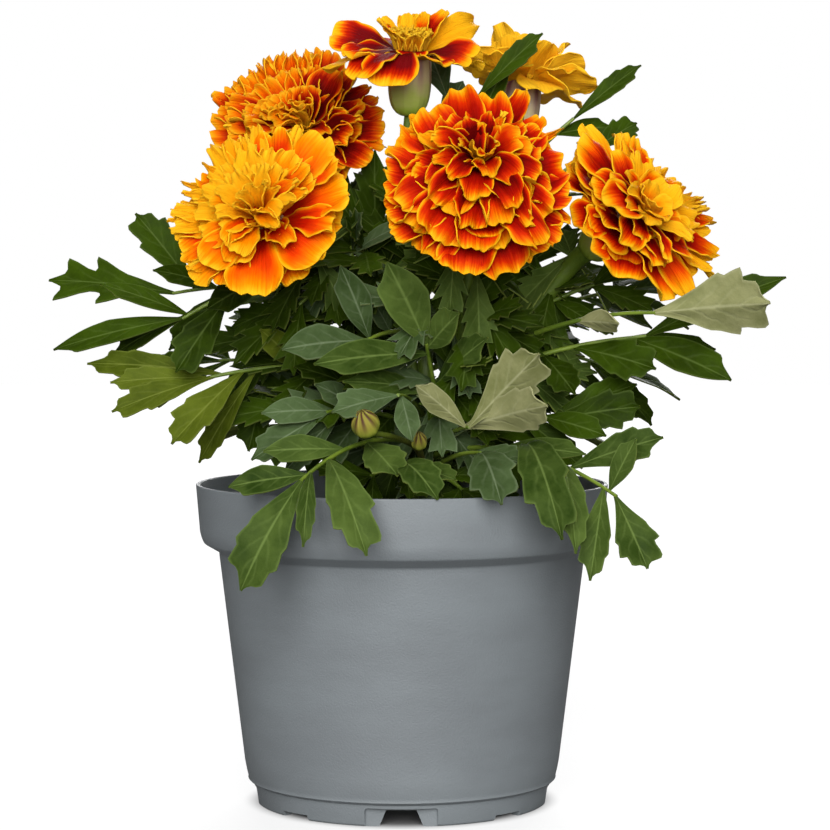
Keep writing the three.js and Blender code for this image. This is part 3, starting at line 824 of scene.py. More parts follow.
def drain_hole(turn):
    """A plug that cuts one hole through the floor."""
    deselect()
    bpy.ops.mesh.primitive_cylinder_add(
        vertices=HOLE["sides"],
        radius=HOLE["radius"] * MM,
        depth=HOLE["depth"] * MM,
        location=mm(HOLE["circle"] * math.cos(turn), HOLE["circle"] * math.sin(turn), FOOT["floor"]),
    )
    return bpy.context.object


def make_pot():
    """The thin-walled pot: a profile spun round, with slots and notches in its foot and holes in its floor."""
    band_foot = POT["height"] - BAND["height"]
    band = POT["rim"] - BAND["taper"]
    band_edge = band - BAND["undercut"]
    floor_top = FOOT["floor"] + POT["wall"]
    wall_foot = FOOT["height"] + FOOT["round"]
    pot = traced("pot", [
        (0, FOOT["floor"]),
        (FOOT["radius"] - FOOT["width"], FOOT["floor"]),
        (FOOT["radius"] - FOOT["width"], 0),
        (FOOT["radius"], 0),
        (FOOT["radius"] + FOOT["flare"], FOOT["height"] - 0.6),
        *[(WALL["lower"] - inward, FOOT["height"] + rise) for inward, rise in SEAM],
        (WALL["lower"], wall_foot),
        (WALL["upper"], band_foot - BAND["shoulder"]),
        (band_edge, band_foot),
        (band, band_foot + BAND["shoulder"]),
        (POT["rim"], POT["height"]),
        (POT["rim"] - POT["wall"], POT["height"]),
        (band - POT["wall"], band_foot + BAND["shoulder"]),
        (WALL["upper"] - POT["wall"], band_foot + POT["wall"] - BAND["shoulder"]),
        (WALL["lower"] - POT["wall"], wall_foot),
        (FOOT["radius"] - POT["wall"], floor_top),
        (0, floor_top),
    ])
    for radius, height, size in (
        (POT["rim"], POT["height"], 0.45),
        (POT["rim"] - POT["wall"], POT["height"], 0.45),
        (band, band_foot + BAND["shoulder"], 1.2),
        (band_edge, band_foot, 0.5),
        (WALL["upper"], band_foot - BAND["shoulder"], 0.6),
        (WALL["lower"], wall_foot, 2.5),
        (FOOT["radius"], 0, 0.8),
    ):
        round_corner(radius, height, size)
    spin_round(POT["steps"])
    cutters = []
    for i in range(DRAIN["count"]):
        azimuth = 270 + 360 * i / DRAIN["count"]
        cutters.append(foot_cut(azimuth, DRAIN["base_width"], DRAIN["top_width"], DRAIN["height"]))
        cutters.append(foot_recess(azimuth))
        cutters.append(foot_cut(azimuth + 45, NOTCH["width"], NOTCH["width"] - 1, NOTCH["height"]))
    for i in range(HOLE["count"]):
        cutters.append(drain_hole(2 * math.pi * (i + 0.5) / HOLE["count"]))
    for cutter in cutters:
        work(pot, "BOOLEAN", operation="DIFFERENCE", solver="EXACT", object=cutter)
    scrap(*cutters)
    pot.data.materials.append(POT_GREY)
    smooth(pot, 35)
    stand_for(pot, "pot_plastic", "nursery_pot")


# ---- Compost ----
CLODS = {"size": 6, "height": 4.5, "level": 0.55}


def make_soil(chance):
    """A lumpy bed of peat that fills the pot, with crumbs strewn over it."""
    floor_top = FOOT["floor"] + POT["wall"]
    band = POT["rim"] - BAND["taper"] - POT["wall"]
    edge = band - COMPOST["gap"]
    neck = (WALL["upper"] - COMPOST["inset"]) / edge
    base = WALL["lower"] / WALL["upper"] - 0.03
    drop = floor_top + COMPOST["gap"] - COMPOST["edge"] + COMPOST["lip"] + COMPOST["step"]
    deselect()
    bpy.ops.mesh.primitive_circle_add(
        vertices=96, radius=edge * MM, fill_type="NGON", location=mm(0, 0, COMPOST["edge"])
    )
    soil = bpy.context.object
    place_down()
    open_mesh(soil)
    pick(lambda v: True)
    for fall, share in ((-COMPOST["lip"], 1), (-COMPOST["step"], neck), (drop, base)):
        bpy.ops.mesh.extrude_region_move(TRANSFORM_OT_translate={"value": mm(0, 0, fall)})
        widen(share, share)
    pick(lambda v: abs(v.co.z - COMPOST["edge"] * MM) < 0.01 * MM)
    for _ in range(COMPOST["rings"]):
        bpy.ops.mesh.inset(thickness=3.3 * MM)
        move(mm(0, 0, 0.15))
    bpy.ops.mesh.poke()
    pick(lambda v: True)
    bpy.ops.mesh.normals_make_consistent(inside=False)
    pick(lambda v: v.co.z > (COMPOST["edge"] + 0.05) * MM)
    bpy.ops.mesh.subdivide(number_cuts=1)
    bpy.ops.object.vertex_group_assign_new()
    close_mesh()
    clods = bpy.data.textures.new("clods", "CLOUDS")
    clods.noise_scale = CLODS["size"] * MM
    clods.noise_depth = 3
    inside = soil.vertex_groups[0].name
    work(soil, "DISPLACE", texture=clods, texture_coords="LOCAL", direction="Z", strength=CLODS["height"] * MM,
         mid_level=CLODS["level"], vertex_group=inside)
    crumbs = []
    for _ in range(CRUMBS["kinds"]):
        deselect()
        bpy.ops.mesh.primitive_ico_sphere_add(subdivisions=1, radius=1)
        crumb = bpy.context.object
        open_mesh(crumb)
        for corner in range(len(crumb.data.vertices)):
            pick(lambda v: v.index == corner)
            move([chance.uniform(-CRUMBS["uneven"], CRUMBS["uneven"]) for _ in range(3)])
        close_mesh()
        crumbs.append(crumb)
    strewn = [soil]
    for i in range(CRUMBS["count"]):
        reach = (band - CRUMBS["margin"]) * math.sqrt(chance.random())
        turn = chance.uniform(0, 2 * math.pi)
        crumb = copy_of(crumbs[i % CRUMBS["kinds"]])
        height = COMPOST["crown"] - (COMPOST["crown"] - COMPOST["edge"]) * reach / band
        height += chance.uniform(-0.4, 1.0)
        crumb.location = mm(reach * math.cos(turn), reach * math.sin(turn), height)
        crumb.rotation_euler = [chance.uniform(0, ROUND) for _ in range(3)]
        crumb.scale = mm(*[chance.uniform(0.5, 1.5) for _ in range(3)])
        strewn.append(crumb)
    scrap(*crumbs)
    soil = gather("peat_compost", strewn)
    soil.data.materials.clear()
    soil.data.materials.append(PEAT)
    smooth(soil, 40)
    stand_for(soil, "compost", "potting_compost")


# ---- Stems ----
class Head:
    """A flower head: its seat is the middle of the calyx's top, and its petals may face another way."""

    def __init__(self, seat, axis, face=None):
        self.seat = mm(*seat)
        self.axis = Vector(axis).normalized()
        self.foot = self.seat - self.axis * CALYX["length"] * MM
        out = Vector(face or axis).normalized()
        back = Vector((0, 1, 1))
        up = (back - out * back.dot(out)).normalized()
        right = up.cross(out)
        self.frame = Matrix.Translation(self.seat) @ Matrix((right, up, out)).transposed().to_4x4()

    def into(self, straight):
        """The last two points of the stalk, straight below the calyx and just inside it."""
        return [self.foot - self.axis * straight * MM, self.foot + self.axis * MM]


HEADS = {
    "left_front": Head((-37.5, -39, 169), (-0.2, -0.84, 0.5)),
    "left_back": Head((-29.5, 18, 193), (-0.42, -0.28, 0.86), (-0.12, -0.74, 0.66)),
    "top": Head((2.5, -2, 217), (0.03, -0.22, 0.97)),
    "front": Head((20, -49, 176.5), (0.04, -0.9, 0.42)),
    "right": Head((64, -17, 169.5), (0.6, -0.6, 0.52)),
    "right_back": Head((36, 31, 210.5), (0.12, 0.38, 0.92)),
}

MAIN = through([mm(7, 0, 70.5), mm(7, 1, 110), mm(6, 3, 150), *HEADS["top"].into(12)])


def branch(at, way, end):
    """A line that leaves the main stem at a share of its length, through the points of its way."""
    start, _ = walk(MAIN, at)
    return through([start, *[mm(*point) for point in way], *end])


STEMS = {
    "main": MAIN,
    "left_front": branch(0.56, [(-4, -1, 156), (-20, -9, 158)], HEADS["left_front"].into(4)),
    "left_back": branch(0.36, [(0, 8, 135), (-8, 17, 156)], HEADS["left_back"].into(6)),
    "front": branch(0.26, [(14, -9, 122), (18, -18, 143)], HEADS["front"].into(6)),
    "right": branch(0.32, [(20, 2, 127), (36, 2, 141)], HEADS["right"].into(5)),
    "right_back": branch(0.44, [(13, 10, 147), (25, 18, 172)], HEADS["right_back"].into(6)),
}
BUDS = {
    "left": {
        "stalk": branch(0.2, [(4, -14, 104), (-2, -30, 108)], [mm(-9, -41, 110)]),
        "radius": 3.9,
        "length": 8.5,
    },
    "right": {
        "stalk": branch(0.16, [(6, -13, 100)], [mm(5, -26, 105)]),
        "radius": 2.3,
        "length": 6,
    },
}


def make_stems():
    """The main stem, a stalk for each side head, and one for each bud."""
    stems = [("centre_stem", MAIN, MAIN_STEM["radius"], MAIN_STEM["tip"], "main_stem")]
    for name in list(STEMS)[1:]:
        tip = SWOLLEN.get(name, BRANCH["tip"])
        stems.append((name + "_stalk", STEMS[name], BRANCH["radius"], tip, name + "_flower_stalk"))
    for side, bud in BUDS.items():
        node = side + "_bud_stalk"
        stems.append((side + "_bud_stem", bud["stalk"], BUD_STALK["radius"], BUD_STALK["tip"], node))
    for name, line, radius, tip, node in stems:
        stem = tube_along(name, TUBE, line, radius, tip, STEM_GREEN)
        smooth(stem)
        stand_for(stem, "stem", node)


def cup_master(name, rows, ribs, rib_depth, tooth):
    """A ribbed cup of radius 1 and height 1, with a tooth on each rib."""
    columns = 3 * ribs
    cup = rolled_tube(name, columns, len(rows) - 1)
    open_mesh(cup)
    for row, radius in enumerate(rows):
        height = row / (len(rows) - 1)
        pick(lambda v: abs(v.co.z - height) < 0.001)
        widen(radius, radius)

    def on_rib(vertex):
        turn = math.atan2(vertex.co.x, -vertex.co.y) / (2 * math.pi) * ribs
        return abs(turn - round(turn)) < 0.1

    pick(lambda v: on_rib(v) and v.co.z > 0.05)
    widen(1 + rib_depth, 1 + rib_depth)
    pick(lambda v: on_rib(v) and v.co.z > 0.999)
    move((0, 0, tooth))
    close_mesh()
    return cup


def stand_on(master, foot, axis, radius, length):
    """A copy of the master on its foot along an axis, at its real radius and length."""
    piece = copy_of(master)
    turn = axis.to_track_quat("Z", "Y").to_matrix().to_4x4()
    size = Matrix.Diagonal((radius * MM, radius * MM, length * MM, 1))
    piece.matrix_world = Matrix.Translation(foot) @ turn @ size
    take(piece)
    place_down()
    return piece


def make_calyces():
    """The ribbed green cup under each head."""
    cup = cup_master("cup", CALYX_ROWS, CALYX["ribs"], 0.05, 0.12)
    for name, head in HEADS.items():
        calyx = stand_on(cup, head.foot, head.axis, CALYX["radius"], CALYX["length"])
        calyx.name = name + "_cup"
        calyx.data.materials.append(CALYX_PURPLE if name == "right_back" else CALYX_GREEN)
        work(calyx, "SUBSURF", levels=1, render_levels=1)
        smooth(calyx, 80)
        stand_for(calyx, "calyx", name + "_calyx")
    scrap(cup)


def make_buds():
    """The two closed buds."""
    shell = cup_master("bud shell", BUD_ROWS, BUD_RIBS, 0.07, 0.05)
    for side, bud in BUDS.items():
        end, way = walk(bud["stalk"], 1.0)
        way = (way + UP * 1.1 + FRONT * 0.5).normalized()
        piece = stand_on(shell, end - way * 0.5 * MM, way, bud["radius"], bud["length"])
        piece.name = side + "_flower_bud"
        piece.data.materials.append(BUD_GREEN)
        work(piece, "SUBSURF", levels=2, render_levels=2)
        smooth(piece, 80)
        stand_for(piece, "calyx", side + "_bud")
    scrap(shell)


# ---- Leaves ----
def lay_leaflet(kind, root, tip, width, face, chance, bow, fine):
    """A leaflet from root to tip, arched towards its face, and a fine one twisted as well."""
    chord = tip - root
    arc = 4 * math.atan(2 * bow)
    length = chord.length * (arc / 2) / math.sin(arc / 2)
    side, normal = square_to(chord.normalized(), face)
    leaflet = copy_of(LEAFLETS[kind])
    leaflet.scale = (width * MM, width * MM, length)
    take(leaflet)
    place_down()
    bend(leaflet, "Z", -chance.uniform(*LEAFLET["cup"]))
    turn = chance.uniform(-LEAFLET["twist"], LEAFLET["twist"])
    if fine:
        twist(leaflet, turn)
    bend(leaflet, "X", math.degrees(arc))
    frame_of = Matrix((side, -normal, chord.normalized())).transposed().to_4x4()
    leaflet.matrix_world = Matrix.Translation(root) @ frame_of @ Matrix.Rotation(arc / 2, 4, "X")
    set_tone(leaflet, chance.random())
    return leaflet


def make_leaf(name, paint, line, leaflets, face, chance, fine=True):
    """A stalk with its leaflets; each leaflet is (share of the stalk, tip, width, kind, bow)."""
    blades = []
    for share, tip, width, kind, bow in leaflets:
        root, _ = walk(line, share * 0.99)
        blades.append(lay_leaflet(kind, root, tip, width, face, chance, bow, fine))
    blade = gather(name + " blades", blades)
    top, under = LEAF_PAINTS[paint]
    blade.data.materials.append(top)
    blade.data.materials.append(under)
    if fine:
        work(blade, "SUBSURF", levels=1, render_levels=1)
    work(blade, "SOLIDIFY", thickness=LEAF_THICKNESS * MM, offset=-1, material_offset=1, material_offset_rim=1)
    stalk = tube_along(name + " stalk", TUBE, line, RACHIS["radius"], RACHIS["tip"], PETIOLE_GREEN)
    leaf = gather(name, [blade, stalk])
    smooth(leaf, 60)
    return leaf


# For each leaf: its stem, its place on it, the end of its stalk, its arch, its face and its paint. For each of
# its leaflets: its place on the stalk, its tip, its width, its kind and, where it hangs, its bow.
# Leaves that stand in shade take the dark paint, which is painted shade; the grey paint is a painted sheen.
LEAVES = {
    "left_high": ("left_back", 0.42, (-69, 26, 148), 8, FRONT, "dark", [
        (1, (-108, 40, 152), 15, "lobed"),
        (0.9, (-80, 26, 172), 11, "coarse"),
        (0.8, (-73, 8, 155), 7, "plain"),
        (0.72, (-70, 24, 131), 8, "toothed"),
    ]),
    "left_mid": ("left_front", 0.7, (-63, -10, 141), 3, FRONT, "dark", [
        (1, (-101, -4, 132), 8, "plain"),
        (0.96, (-86, -16, 151), 6.5, "plain"),
        (0.96, (-85, 4, 130), 6.5, "toothed"),
        (0.62, (-64, -22, 126), 11, "coarse"),
        (0.36, (-55, -22, 144), 9, "plain"),
    ]),
    "left_low": ("main", 0.4, (-56, -14, 124), 8, FRONT, "olive", [
        (1, (-83, -18, 123), 7, "toothed"),
        (0.96, (-82, -24, 115), 8.5, "coarse"),
        (0.93, (-91, -6, 128), 8, "toothed"),
        (0.84, (-65, -26, 106), 12, "coarse"),
        (0.78, (-59, -4, 99), 6.5, "toothed"),
        (0.6, (-40, -20, 138), 8, "plain"),
    ]),
    "left_inner": ("main", 0.3, (-41, 6, 120), 8, FRONT, "dark", [
        (1, (-45, 2, 102), 9, "toothed"),
        (0.85, (-50, 12, 115), 7, "plain"),
        (0.7, (-30, 8, 105), 8, "coarse"),
        (0.55, (-33, 10, 131), 8, "plain"),
    ]),
    "left_front_low": ("main", 0.28, (-21, -28, 115), 6, FRONT, "grey", [
        (1, (-42, -34, 102), 9, "toothed"),
        (0.93, (-39, -34, 115), 8, "plain"),
        (0.85, (-33, -26, 98), 7.5, "toothed"),
        (0.7, (-24, -34, 123), 7, "plain"),
    ]),
    "rim_left": ("main", 0.25, (-27, -58, 98), 12, FRONT, "bright", [
        (1, (-43, -67, 69), 13, "toothed", 0.14),
        (0.96, (-47, -54, 96), 8.5, "plain"),
        (0.93, (-26, -70, 81), 5, "toothed", 0.2),
        (0.8, (-9, -73, 79), 12, "coarse", 0.2),
        (0.66, (-38, -44, 105), 8, "plain"),
        (0.5, (-1, -52, 99), 11, "toothed"),
    ]),
    "centre_up": ("front", 0.14, (7, -26, 134), 0, FRONT, "bright", [
        (1, (-4, -34, 157), 13, "plain"),
        (0.95, (16, -34, 143), 10, "plain"),
        (0.88, (-24, -42, 129), 10, "plain"),
        (0.4, (24, -32, 136), 9, "toothed"),
        (0.3, (-16, -38, 124), 8, "toothed"),
    ]),
    "centre_left": ("main", 0.5, (-10, -24, 135), 4, FRONT, "grey", [
        (1, (-33, -38, 133), 11, "plain"),
        (0.95, (-17, -32, 156), 9, "plain"),
        (0.6, (-8, -20, 146), 7, "plain"),
    ]),
    "centre_low": ("main", 0.31, (-1, -34, 120), 4, FRONT, "grey", [
        (1, (-19, -46, 116), 9.5, "toothed"),
        (0.9, (3, -46, 108), 7, "plain"),
    ]),
    "centre_right": ("main", 0.23, (19, -32, 111), 4, BEHIND, "pale", [
        (1, (38, -46, 132), 14, "coarse"),
        (0.95, (4, -40, 123), 7, "plain"),
        (0.85, (40, -52, 118), 12, "toothed"),
    ]),
    "low_front": ("main", 0.12, (0, -40, 101), 5, FRONT, "bright", [
        (1, (10, -60, 93), 10, "toothed", 0.2),
        (0.85, (15, -56, 98), 7, "toothed"),
        (0.6, (-8, -20, 101), 6, "plain"),
    ]),
    "low_right": ("main", 0.19, (22, -36, 104), 4, FRONT, "grey", [
        (1, (27, -64, 92), 13, "coarse", 0.15),
        (0.85, (33, -48, 102), 9, "toothed"),
    ]),
    "hanging_right": ("main", 0.23, (59, -50, 93), 14, FRONT, "bright", [
        (1, (67, -58, 74), 12, "coarse"),
        (0.97, (64, -52, 109), 6.5, "plain"),
        (0.94, (51, -61, 71), 8, "toothed", 0.12),
        (0.76, (72, -46, 109), 9.5, "toothed"),
        (0.72, (47, -67, 79), 8.5, "toothed", 0.2),
        (0.52, (43, -70, 83), 13, "coarse", 0.25),
        (0.4, (51, -40, 104), 7, "plain"),
    ]),
    "right_low": ("main", 0.31, (44, -14, 112), 6, FRONT, "dark", [
        (1, (68, -18, 116), 11, "coarse"),
        (0.96, (68, -6, 122), 8.5, "toothed"),
        (0.9, (58, -22, 108), 8, "plain"),
        (0.7, (52, -12, 98), 8, "toothed"),
    ]),
    "right_high": ("right", 0.3, (71, -32, 143), 8, BEHIND, "pale", [
        (1, (102, -40, 146), 19, "coarse"),
        (0.6, (61, -30, 140), 7, "plain"),
    ]),
    "right_mid": ("right", 0.14, (70, -14, 136), 6, FRONT, "dark", [
        (1, (109, -20, 153), 9, "plain"),
        (0.94, (93, -26, 124), 12, "plain"),
        (0.85, (91, -4, 132), 6, "plain"),
        (0.65, (72, -22, 127), 12, "coarse"),
        (0.5, (49, -24, 120), 9, "toothed"),
    ]),
    "top_right": ("right_back", 0.72, (51, 20, 200), 2, FRONT, "dark", [
        (1, (71, 22, 216), 6.5, "toothed"),
        (0.8, (63, 28, 198), 7, "plain"),
    ]),
    "top_tall": ("right_back", 0.62, (22, 10, 206), 2, FRONT, "dark", [
        (1, (41, 6, 224), 6.5, "toothed"),
        (0.8, (31, 16, 216), 7, "plain"),
    ]),
    "top_mid": ("main", 0.78, (14, 10, 204), 1, FRONT, "grey", [
        (1, (8, 24, 220), 9, "coarse"),
        (0.8, (18, 19, 211), 7, "plain"),
    ]),
    "right_upper": ("right_back", 0.45, (56, 16, 190), 3, FRONT, "dark", [
        (1, (70, 24, 199), 8.5, "coarse"),
        (0.8, (66, 28, 186), 8, "plain"),
    ]),
}
# Leaves with leaflets in pairs: stem, place on it, tip, arch, the end leaflet's length, pairs and face.
BUSHY_LEAVES = {
    "back_left": ("left_back", 0.25, (-46, 70, 140), 12, 30, 3, UP),
    "back_right": ("right_back", 0.2, (52, 68, 150), 10, 30, 3, UP),
    "back_low": ("main", 0.24, (4, 75, 108), 24, 30, 3, UP),
    "back_low_right": ("main", 0.18, (62, 56, 100), 20, 28, 3, UP),
    "back_low_left": ("main", 0.17, (-58, 58, 102), 20, 28, 3, UP),
    "back_high": ("left_back", 0.55, (-10, 64, 173), 4, 30, 3, UP),
    "back_upper": ("right_back", 0.38, (46, 58, 187), 2, 28, 2, UP),
    "right_side": ("main", 0.42, (84, 30, 116), 18, 30, 3, RIGHT_SIDE),
    "back_side": ("right", 0.5, (88, 40, 150), 8, 28, 3, RIGHT_SIDE),
    "left_side": ("main", 0.33, (-82, 46, 124), 16, 30, 3, LEFT_SIDE),
}


def stalk_line(stem, at, end, arch):
    """An arched line from a stem to the end of a leaf's stalk."""
    start, _ = walk(STEMS[stem], at)
    return bowed(start, (start + end) / 2 + UP * arch * MM, end)


def bushy_leaf(stem, at, tip, arch, size, pairs, face):
    """The stalk and the leaflets of a leaf whose leaflets stand in pairs."""
    tip = mm(*tip)
    whole = stalk_line(stem, at, tip, arch)
    reach = sum((b - a).length for a, b in zip(whole, whole[1:]))
    end, _ = walk(whole, max(0.2, 1 - size * MM / reach))
    line = stalk_line(stem, at, end, arch * 0.6)
    leaflets = [(1, tip, size * LEAFLET["width_share"], "toothed", LEAFLET["bow"])]
    for pair in range(pairs):
        back = pair / max(1, pairs - 1)
        share, splay, part = [near + (far - near) * back for near, far in PAIRS.values()]
        splay = math.radians(splay)
        length = size * part * MM
        root, way = walk(line, share * 0.99)
        side, normal = square_to(way, face)
        for hand in (-1, 1):
            reach_out = way * math.cos(splay) + side * hand * math.sin(splay) - normal * LEAFLET["droop"]
            width = length / MM * LEAFLET["width_share"] * LEAFLET["side_width"]
            kind = ("coarse", "toothed", "plain")[(pair + (hand > 0)) % 3]
            leaflets.append((share, root + reach_out * length, width, kind, LEAFLET["bow"]))
    return line, leaflets


def make_leaves(chance):
    """The leaves that show, each a piece of its own."""
    for name, (stem, at, end, arch, face, paint, leaflets) in LEAVES.items():
        line = stalk_line(stem, at, mm(*end), arch)
        placed = [(share, mm(*tip), width, kind, *(rest or [LEAFLET["bow"]]))
                  for share, tip, width, kind, *rest in leaflets]
        leaf = make_leaf(name + "_foliage", paint, line, placed, face, chance)
        stand_for(leaf, "leaf", name + "_leaf")
    for name, (stem, at, tip, arch, size, pairs, face) in BUSHY_LEAVES.items():
        line, leaflets = bushy_leaf(stem, at, tip, arch, size, pairs, face)
        # The leaves at the back and sides take the dark paint: painted shade.
        leaf = make_leaf(name + "_foliage", "dark", line, leaflets, face, chance)
        stand_for(leaf, "leaf", name + "_leaf")


# The leaves that fill the inside of the plant reach from the stems to this egg shape.
# The inner leaves mostly take the dark paint, painted shade for the inside of the plant; the grey paint among
# them is a painted sheen.
FILLING = {"middle": (3, 8, 137), "reach": (62, 46, 50), "leaves": 76, "size": 25, "pairs": 2, "pieces": 6,
           "paints": ("dark", "dark", "dark", "grey", "bright")}
# More leaves inside the plant, each with its stem, its place on it, its tip and its end leaflet's length.
TUCKED = [
    ("left_back", 0.6, (-8, 8, 190), 30), ("left_back", 0.5, (-20, -2, 178), 26),
    ("main", 0.62, (-4, -12, 172), 26), ("left_front", 0.4, (-16, -14, 170), 24),
    ("front", 0.5, (30, -20, 158), 26), ("right", 0.3, (36, 6, 162), 24),
    ("right", 0.5, (40, 14, 178), 24), ("right_back", 0.5, (22, 8, 196), 24),
    ("right_back", 0.6, (36, 12, 202), 24), ("left_front", 0.5, (-52, -14, 146), 26),
    ("left_front", 0.45, (-48, -18, 128), 26), ("main", 0.35, (-52, -4, 112), 26),
    ("main", 0.3, (-30, -30, 128), 24), ("front", 0.2, (36, -30, 126), 24),
    ("main", 0.22, (-20, -38, 92), 20), ("main", 0.2, (24, -44, 88), 20),
    ("right", 0.6, (78, -8, 158), 24), ("left_back", 0.3, (-60, 14, 132), 26),
]


def nearest_stem(place):
    """The stem, and the place on it, that lies nearest under a point."""
    best = None
    for name, line in STEMS.items():
        for step in range(2, 19):
            at = step / 20
            point, _ = walk(line, at)
            drop = place.z - point.z
            if drop > 4 * MM and (best is None or (place - point).length < best[0]):
                best = ((place - point).length, name, at)
    return best[1:] if best else ("main", 0.15)


def make_filling(chance):
    """The inner foliage: coarser leaves between the stems, in a few pieces."""
    middle, reach = Vector(FILLING["middle"]), Vector(FILLING["reach"])
    leaves = []
    for i in range(FILLING["leaves"]):
        height = 1 - 2 * (i + 0.5) / FILLING["leaves"]
        turn = math.radians(GOLDEN_TURN * i)
        flat = math.sqrt(1 - height * height)
        out = Vector((flat * math.cos(turn), flat * math.sin(turn), height))
        share = chance.uniform(0.72, 1.0)
        tip = Vector([m + r * o * share for m, r, o in zip(middle, reach, out)])
        stem, at = nearest_stem(tip * MM)
        face = (out * 0.5 + UP * 0.7 + FRONT * 0.9).normalized()
        size = FILLING["size"] * chance.uniform(0.85, 1.15)
        line, leaflets = bushy_leaf(stem, at, tip, 6, size, FILLING["pairs"], face)
        paint = chance.choice(FILLING["paints"])
        leaves.append(make_leaf("inner leaf", paint, line, leaflets, face, chance, fine=False))
    for stem, at, tip, size in TUCKED:
        face = (FRONT + Vector((chance.uniform(-0.5, 0.5), 0, chance.uniform(0, 0.5)))).normalized()
        line, leaflets = bushy_leaf(stem, at, tip, 3, size, FILLING["pairs"], face)
        # The tucked leaves take the dark paint: painted shade deep inside the plant.
        leaves.append(make_leaf("inner leaf", "dark", line, leaflets, face, chance, fine=False))
    for part in range(FILLING["pieces"]):
        piece = gather("inner_foliage_" + str(part + 1), leaves[part :: FILLING["pieces"]])
        stand_for(piece, "leaf")


# ---- Flower heads ----
def grow_petal(head, kind, foot, clock, lean, curl, length, width, cup, tone, chance, roll=0):
    """One petal on its foot: clock is where it points, lean and curl how far it opens, and roll its turn."""
    petal = copy_of(chance.choice(PETALS[kind]))
    petal.scale = (width * MM, length * MM, length * MM)
    take(petal)
    place_down()
    bend(petal, "Z", -cup)
    twist(petal, chance.uniform(-PETAL_TWIST, PETAL_TWIST))
    bend(petal, "X", curl)
    half = math.radians(curl) / 2
    petal.matrix_world = (
        head.frame
        @ Matrix.Translation(foot)
        @ Matrix.Rotation(-math.radians(clock), 4, "Z")
        @ Matrix.Rotation(-math.radians(lean), 4, "X")
        @ Matrix.Rotation(math.radians(roll), 4, Vector((0, math.sin(half), math.cos(half))))
    )
    set_tone(petal, min(1, max(0, tone)))
    return petal


def aim_petal(head, kind, heart, tip, ring, rise, curl, width, cup, tone, chance, roll=0):
    """A petal whose tip is at a place of the head's own frame, and whose foot stands round the heart."""
    way = Vector((tip.x - heart.x, tip.y - heart.y))
    foot = heart + mm(0, 0, rise) + Vector((*way.normalized() * min(ring * MM, way.length * 0.5), 0))
    run, climb = tip.xy - foot.xy, tip.z - foot.z
    chord = math.hypot(run.length, climb)
    half = math.radians(curl) / 2
    clock = math.degrees(math.atan2(run.x, run.y))
    lean = math.degrees(math.atan2(run.length, climb) - half)
    length = chord * half / math.sin(half) / MM
    return grow_petal(head, kind, foot, clock, lean, curl, length, width, cup, tone, chance, roll)


# Whorls that fill a head behind and between the petals set one by one, from the outside in: how many petals,
# where the first one stands, lean, curl, length, width, cup, distance from the axis, height of the foot, tone,
# and the kinds of petal in turn.
WHORLS = {
    "front": [
        (9, 8, 82, 18, 19, 15, 40, 4.5, -2, 0.8, "wavy broad fan"),
        (8, 26, 60, 26, 16, 12, 45, 3.5, 0, 0.9, "wavy broad"),
        (5, 10, 14, 20, 10, 7, 90, 1.2, 1, 1.0, "tongue"),
        (7, 0, 50, 24, 9, 7, 60, 2.5, 0.3, 1.0, "broad"),
    ],
    "left_front": [
        (9, 10, 82, 18, 18, 13, 40, 4.5, -2, 0.8, "fan wavy broad"),
        (7, 0, 30, 26, 11, 6, 70, 2.5, 1, 0.5, "pointed tongue"),
        (5, 20, 8, 20, 9, 5, 100, 1, 1, 0.6, "tongue"),
        (8, 0, 50, 24, 9, 7, 60, 2.5, 0.3, 0.9, "broad"),
    ],
    "left_back": [
        (9, 12, 84, 18, 18, 14, 40, 4.5, -1, 1.0, "wavy broad fan"),
        (10, 0, 62, 24, 17, 9, 50, 4, 0, 0.8, "tongue wavy"),
        (8, 16, 34, 26, 15, 7, 60, 3, 1, 0.7, "ragged tongue"),
        (6, 0, 12, 22, 12, 6, 90, 1.4, 1, 0.8, "tongue"),
        (7, 0, 48, 24, 9, 7, 60, 2.5, 0.3, 1.0, "broad"),
    ],
    "top": [
        (5, 20, 84, 20, 15, 11, 40, 4.5, -0.5, 0.9, "broad wavy"),
    ],
    "right": [
        (9, 8, 82, 18, 19, 16, 30, 4.5, -2, 0.85, "broad fan"),
        (6, 26, 58, 26, 15, 13, 30, 3.5, 0, 0.8, "broad"),
        (7, 0, 50, 24, 9, 7, 60, 2.5, 0.3, 0.9, "broad"),
    ],
    "right_back": [
        (7, 0, 66, 14, 15, 14, 30, 4.5, -1, 0.1, "fan broad"),
        (6, 24, 36, 22, 13, 11, 50, 3, 1, 0.2, "broad fan"),
    ],
}
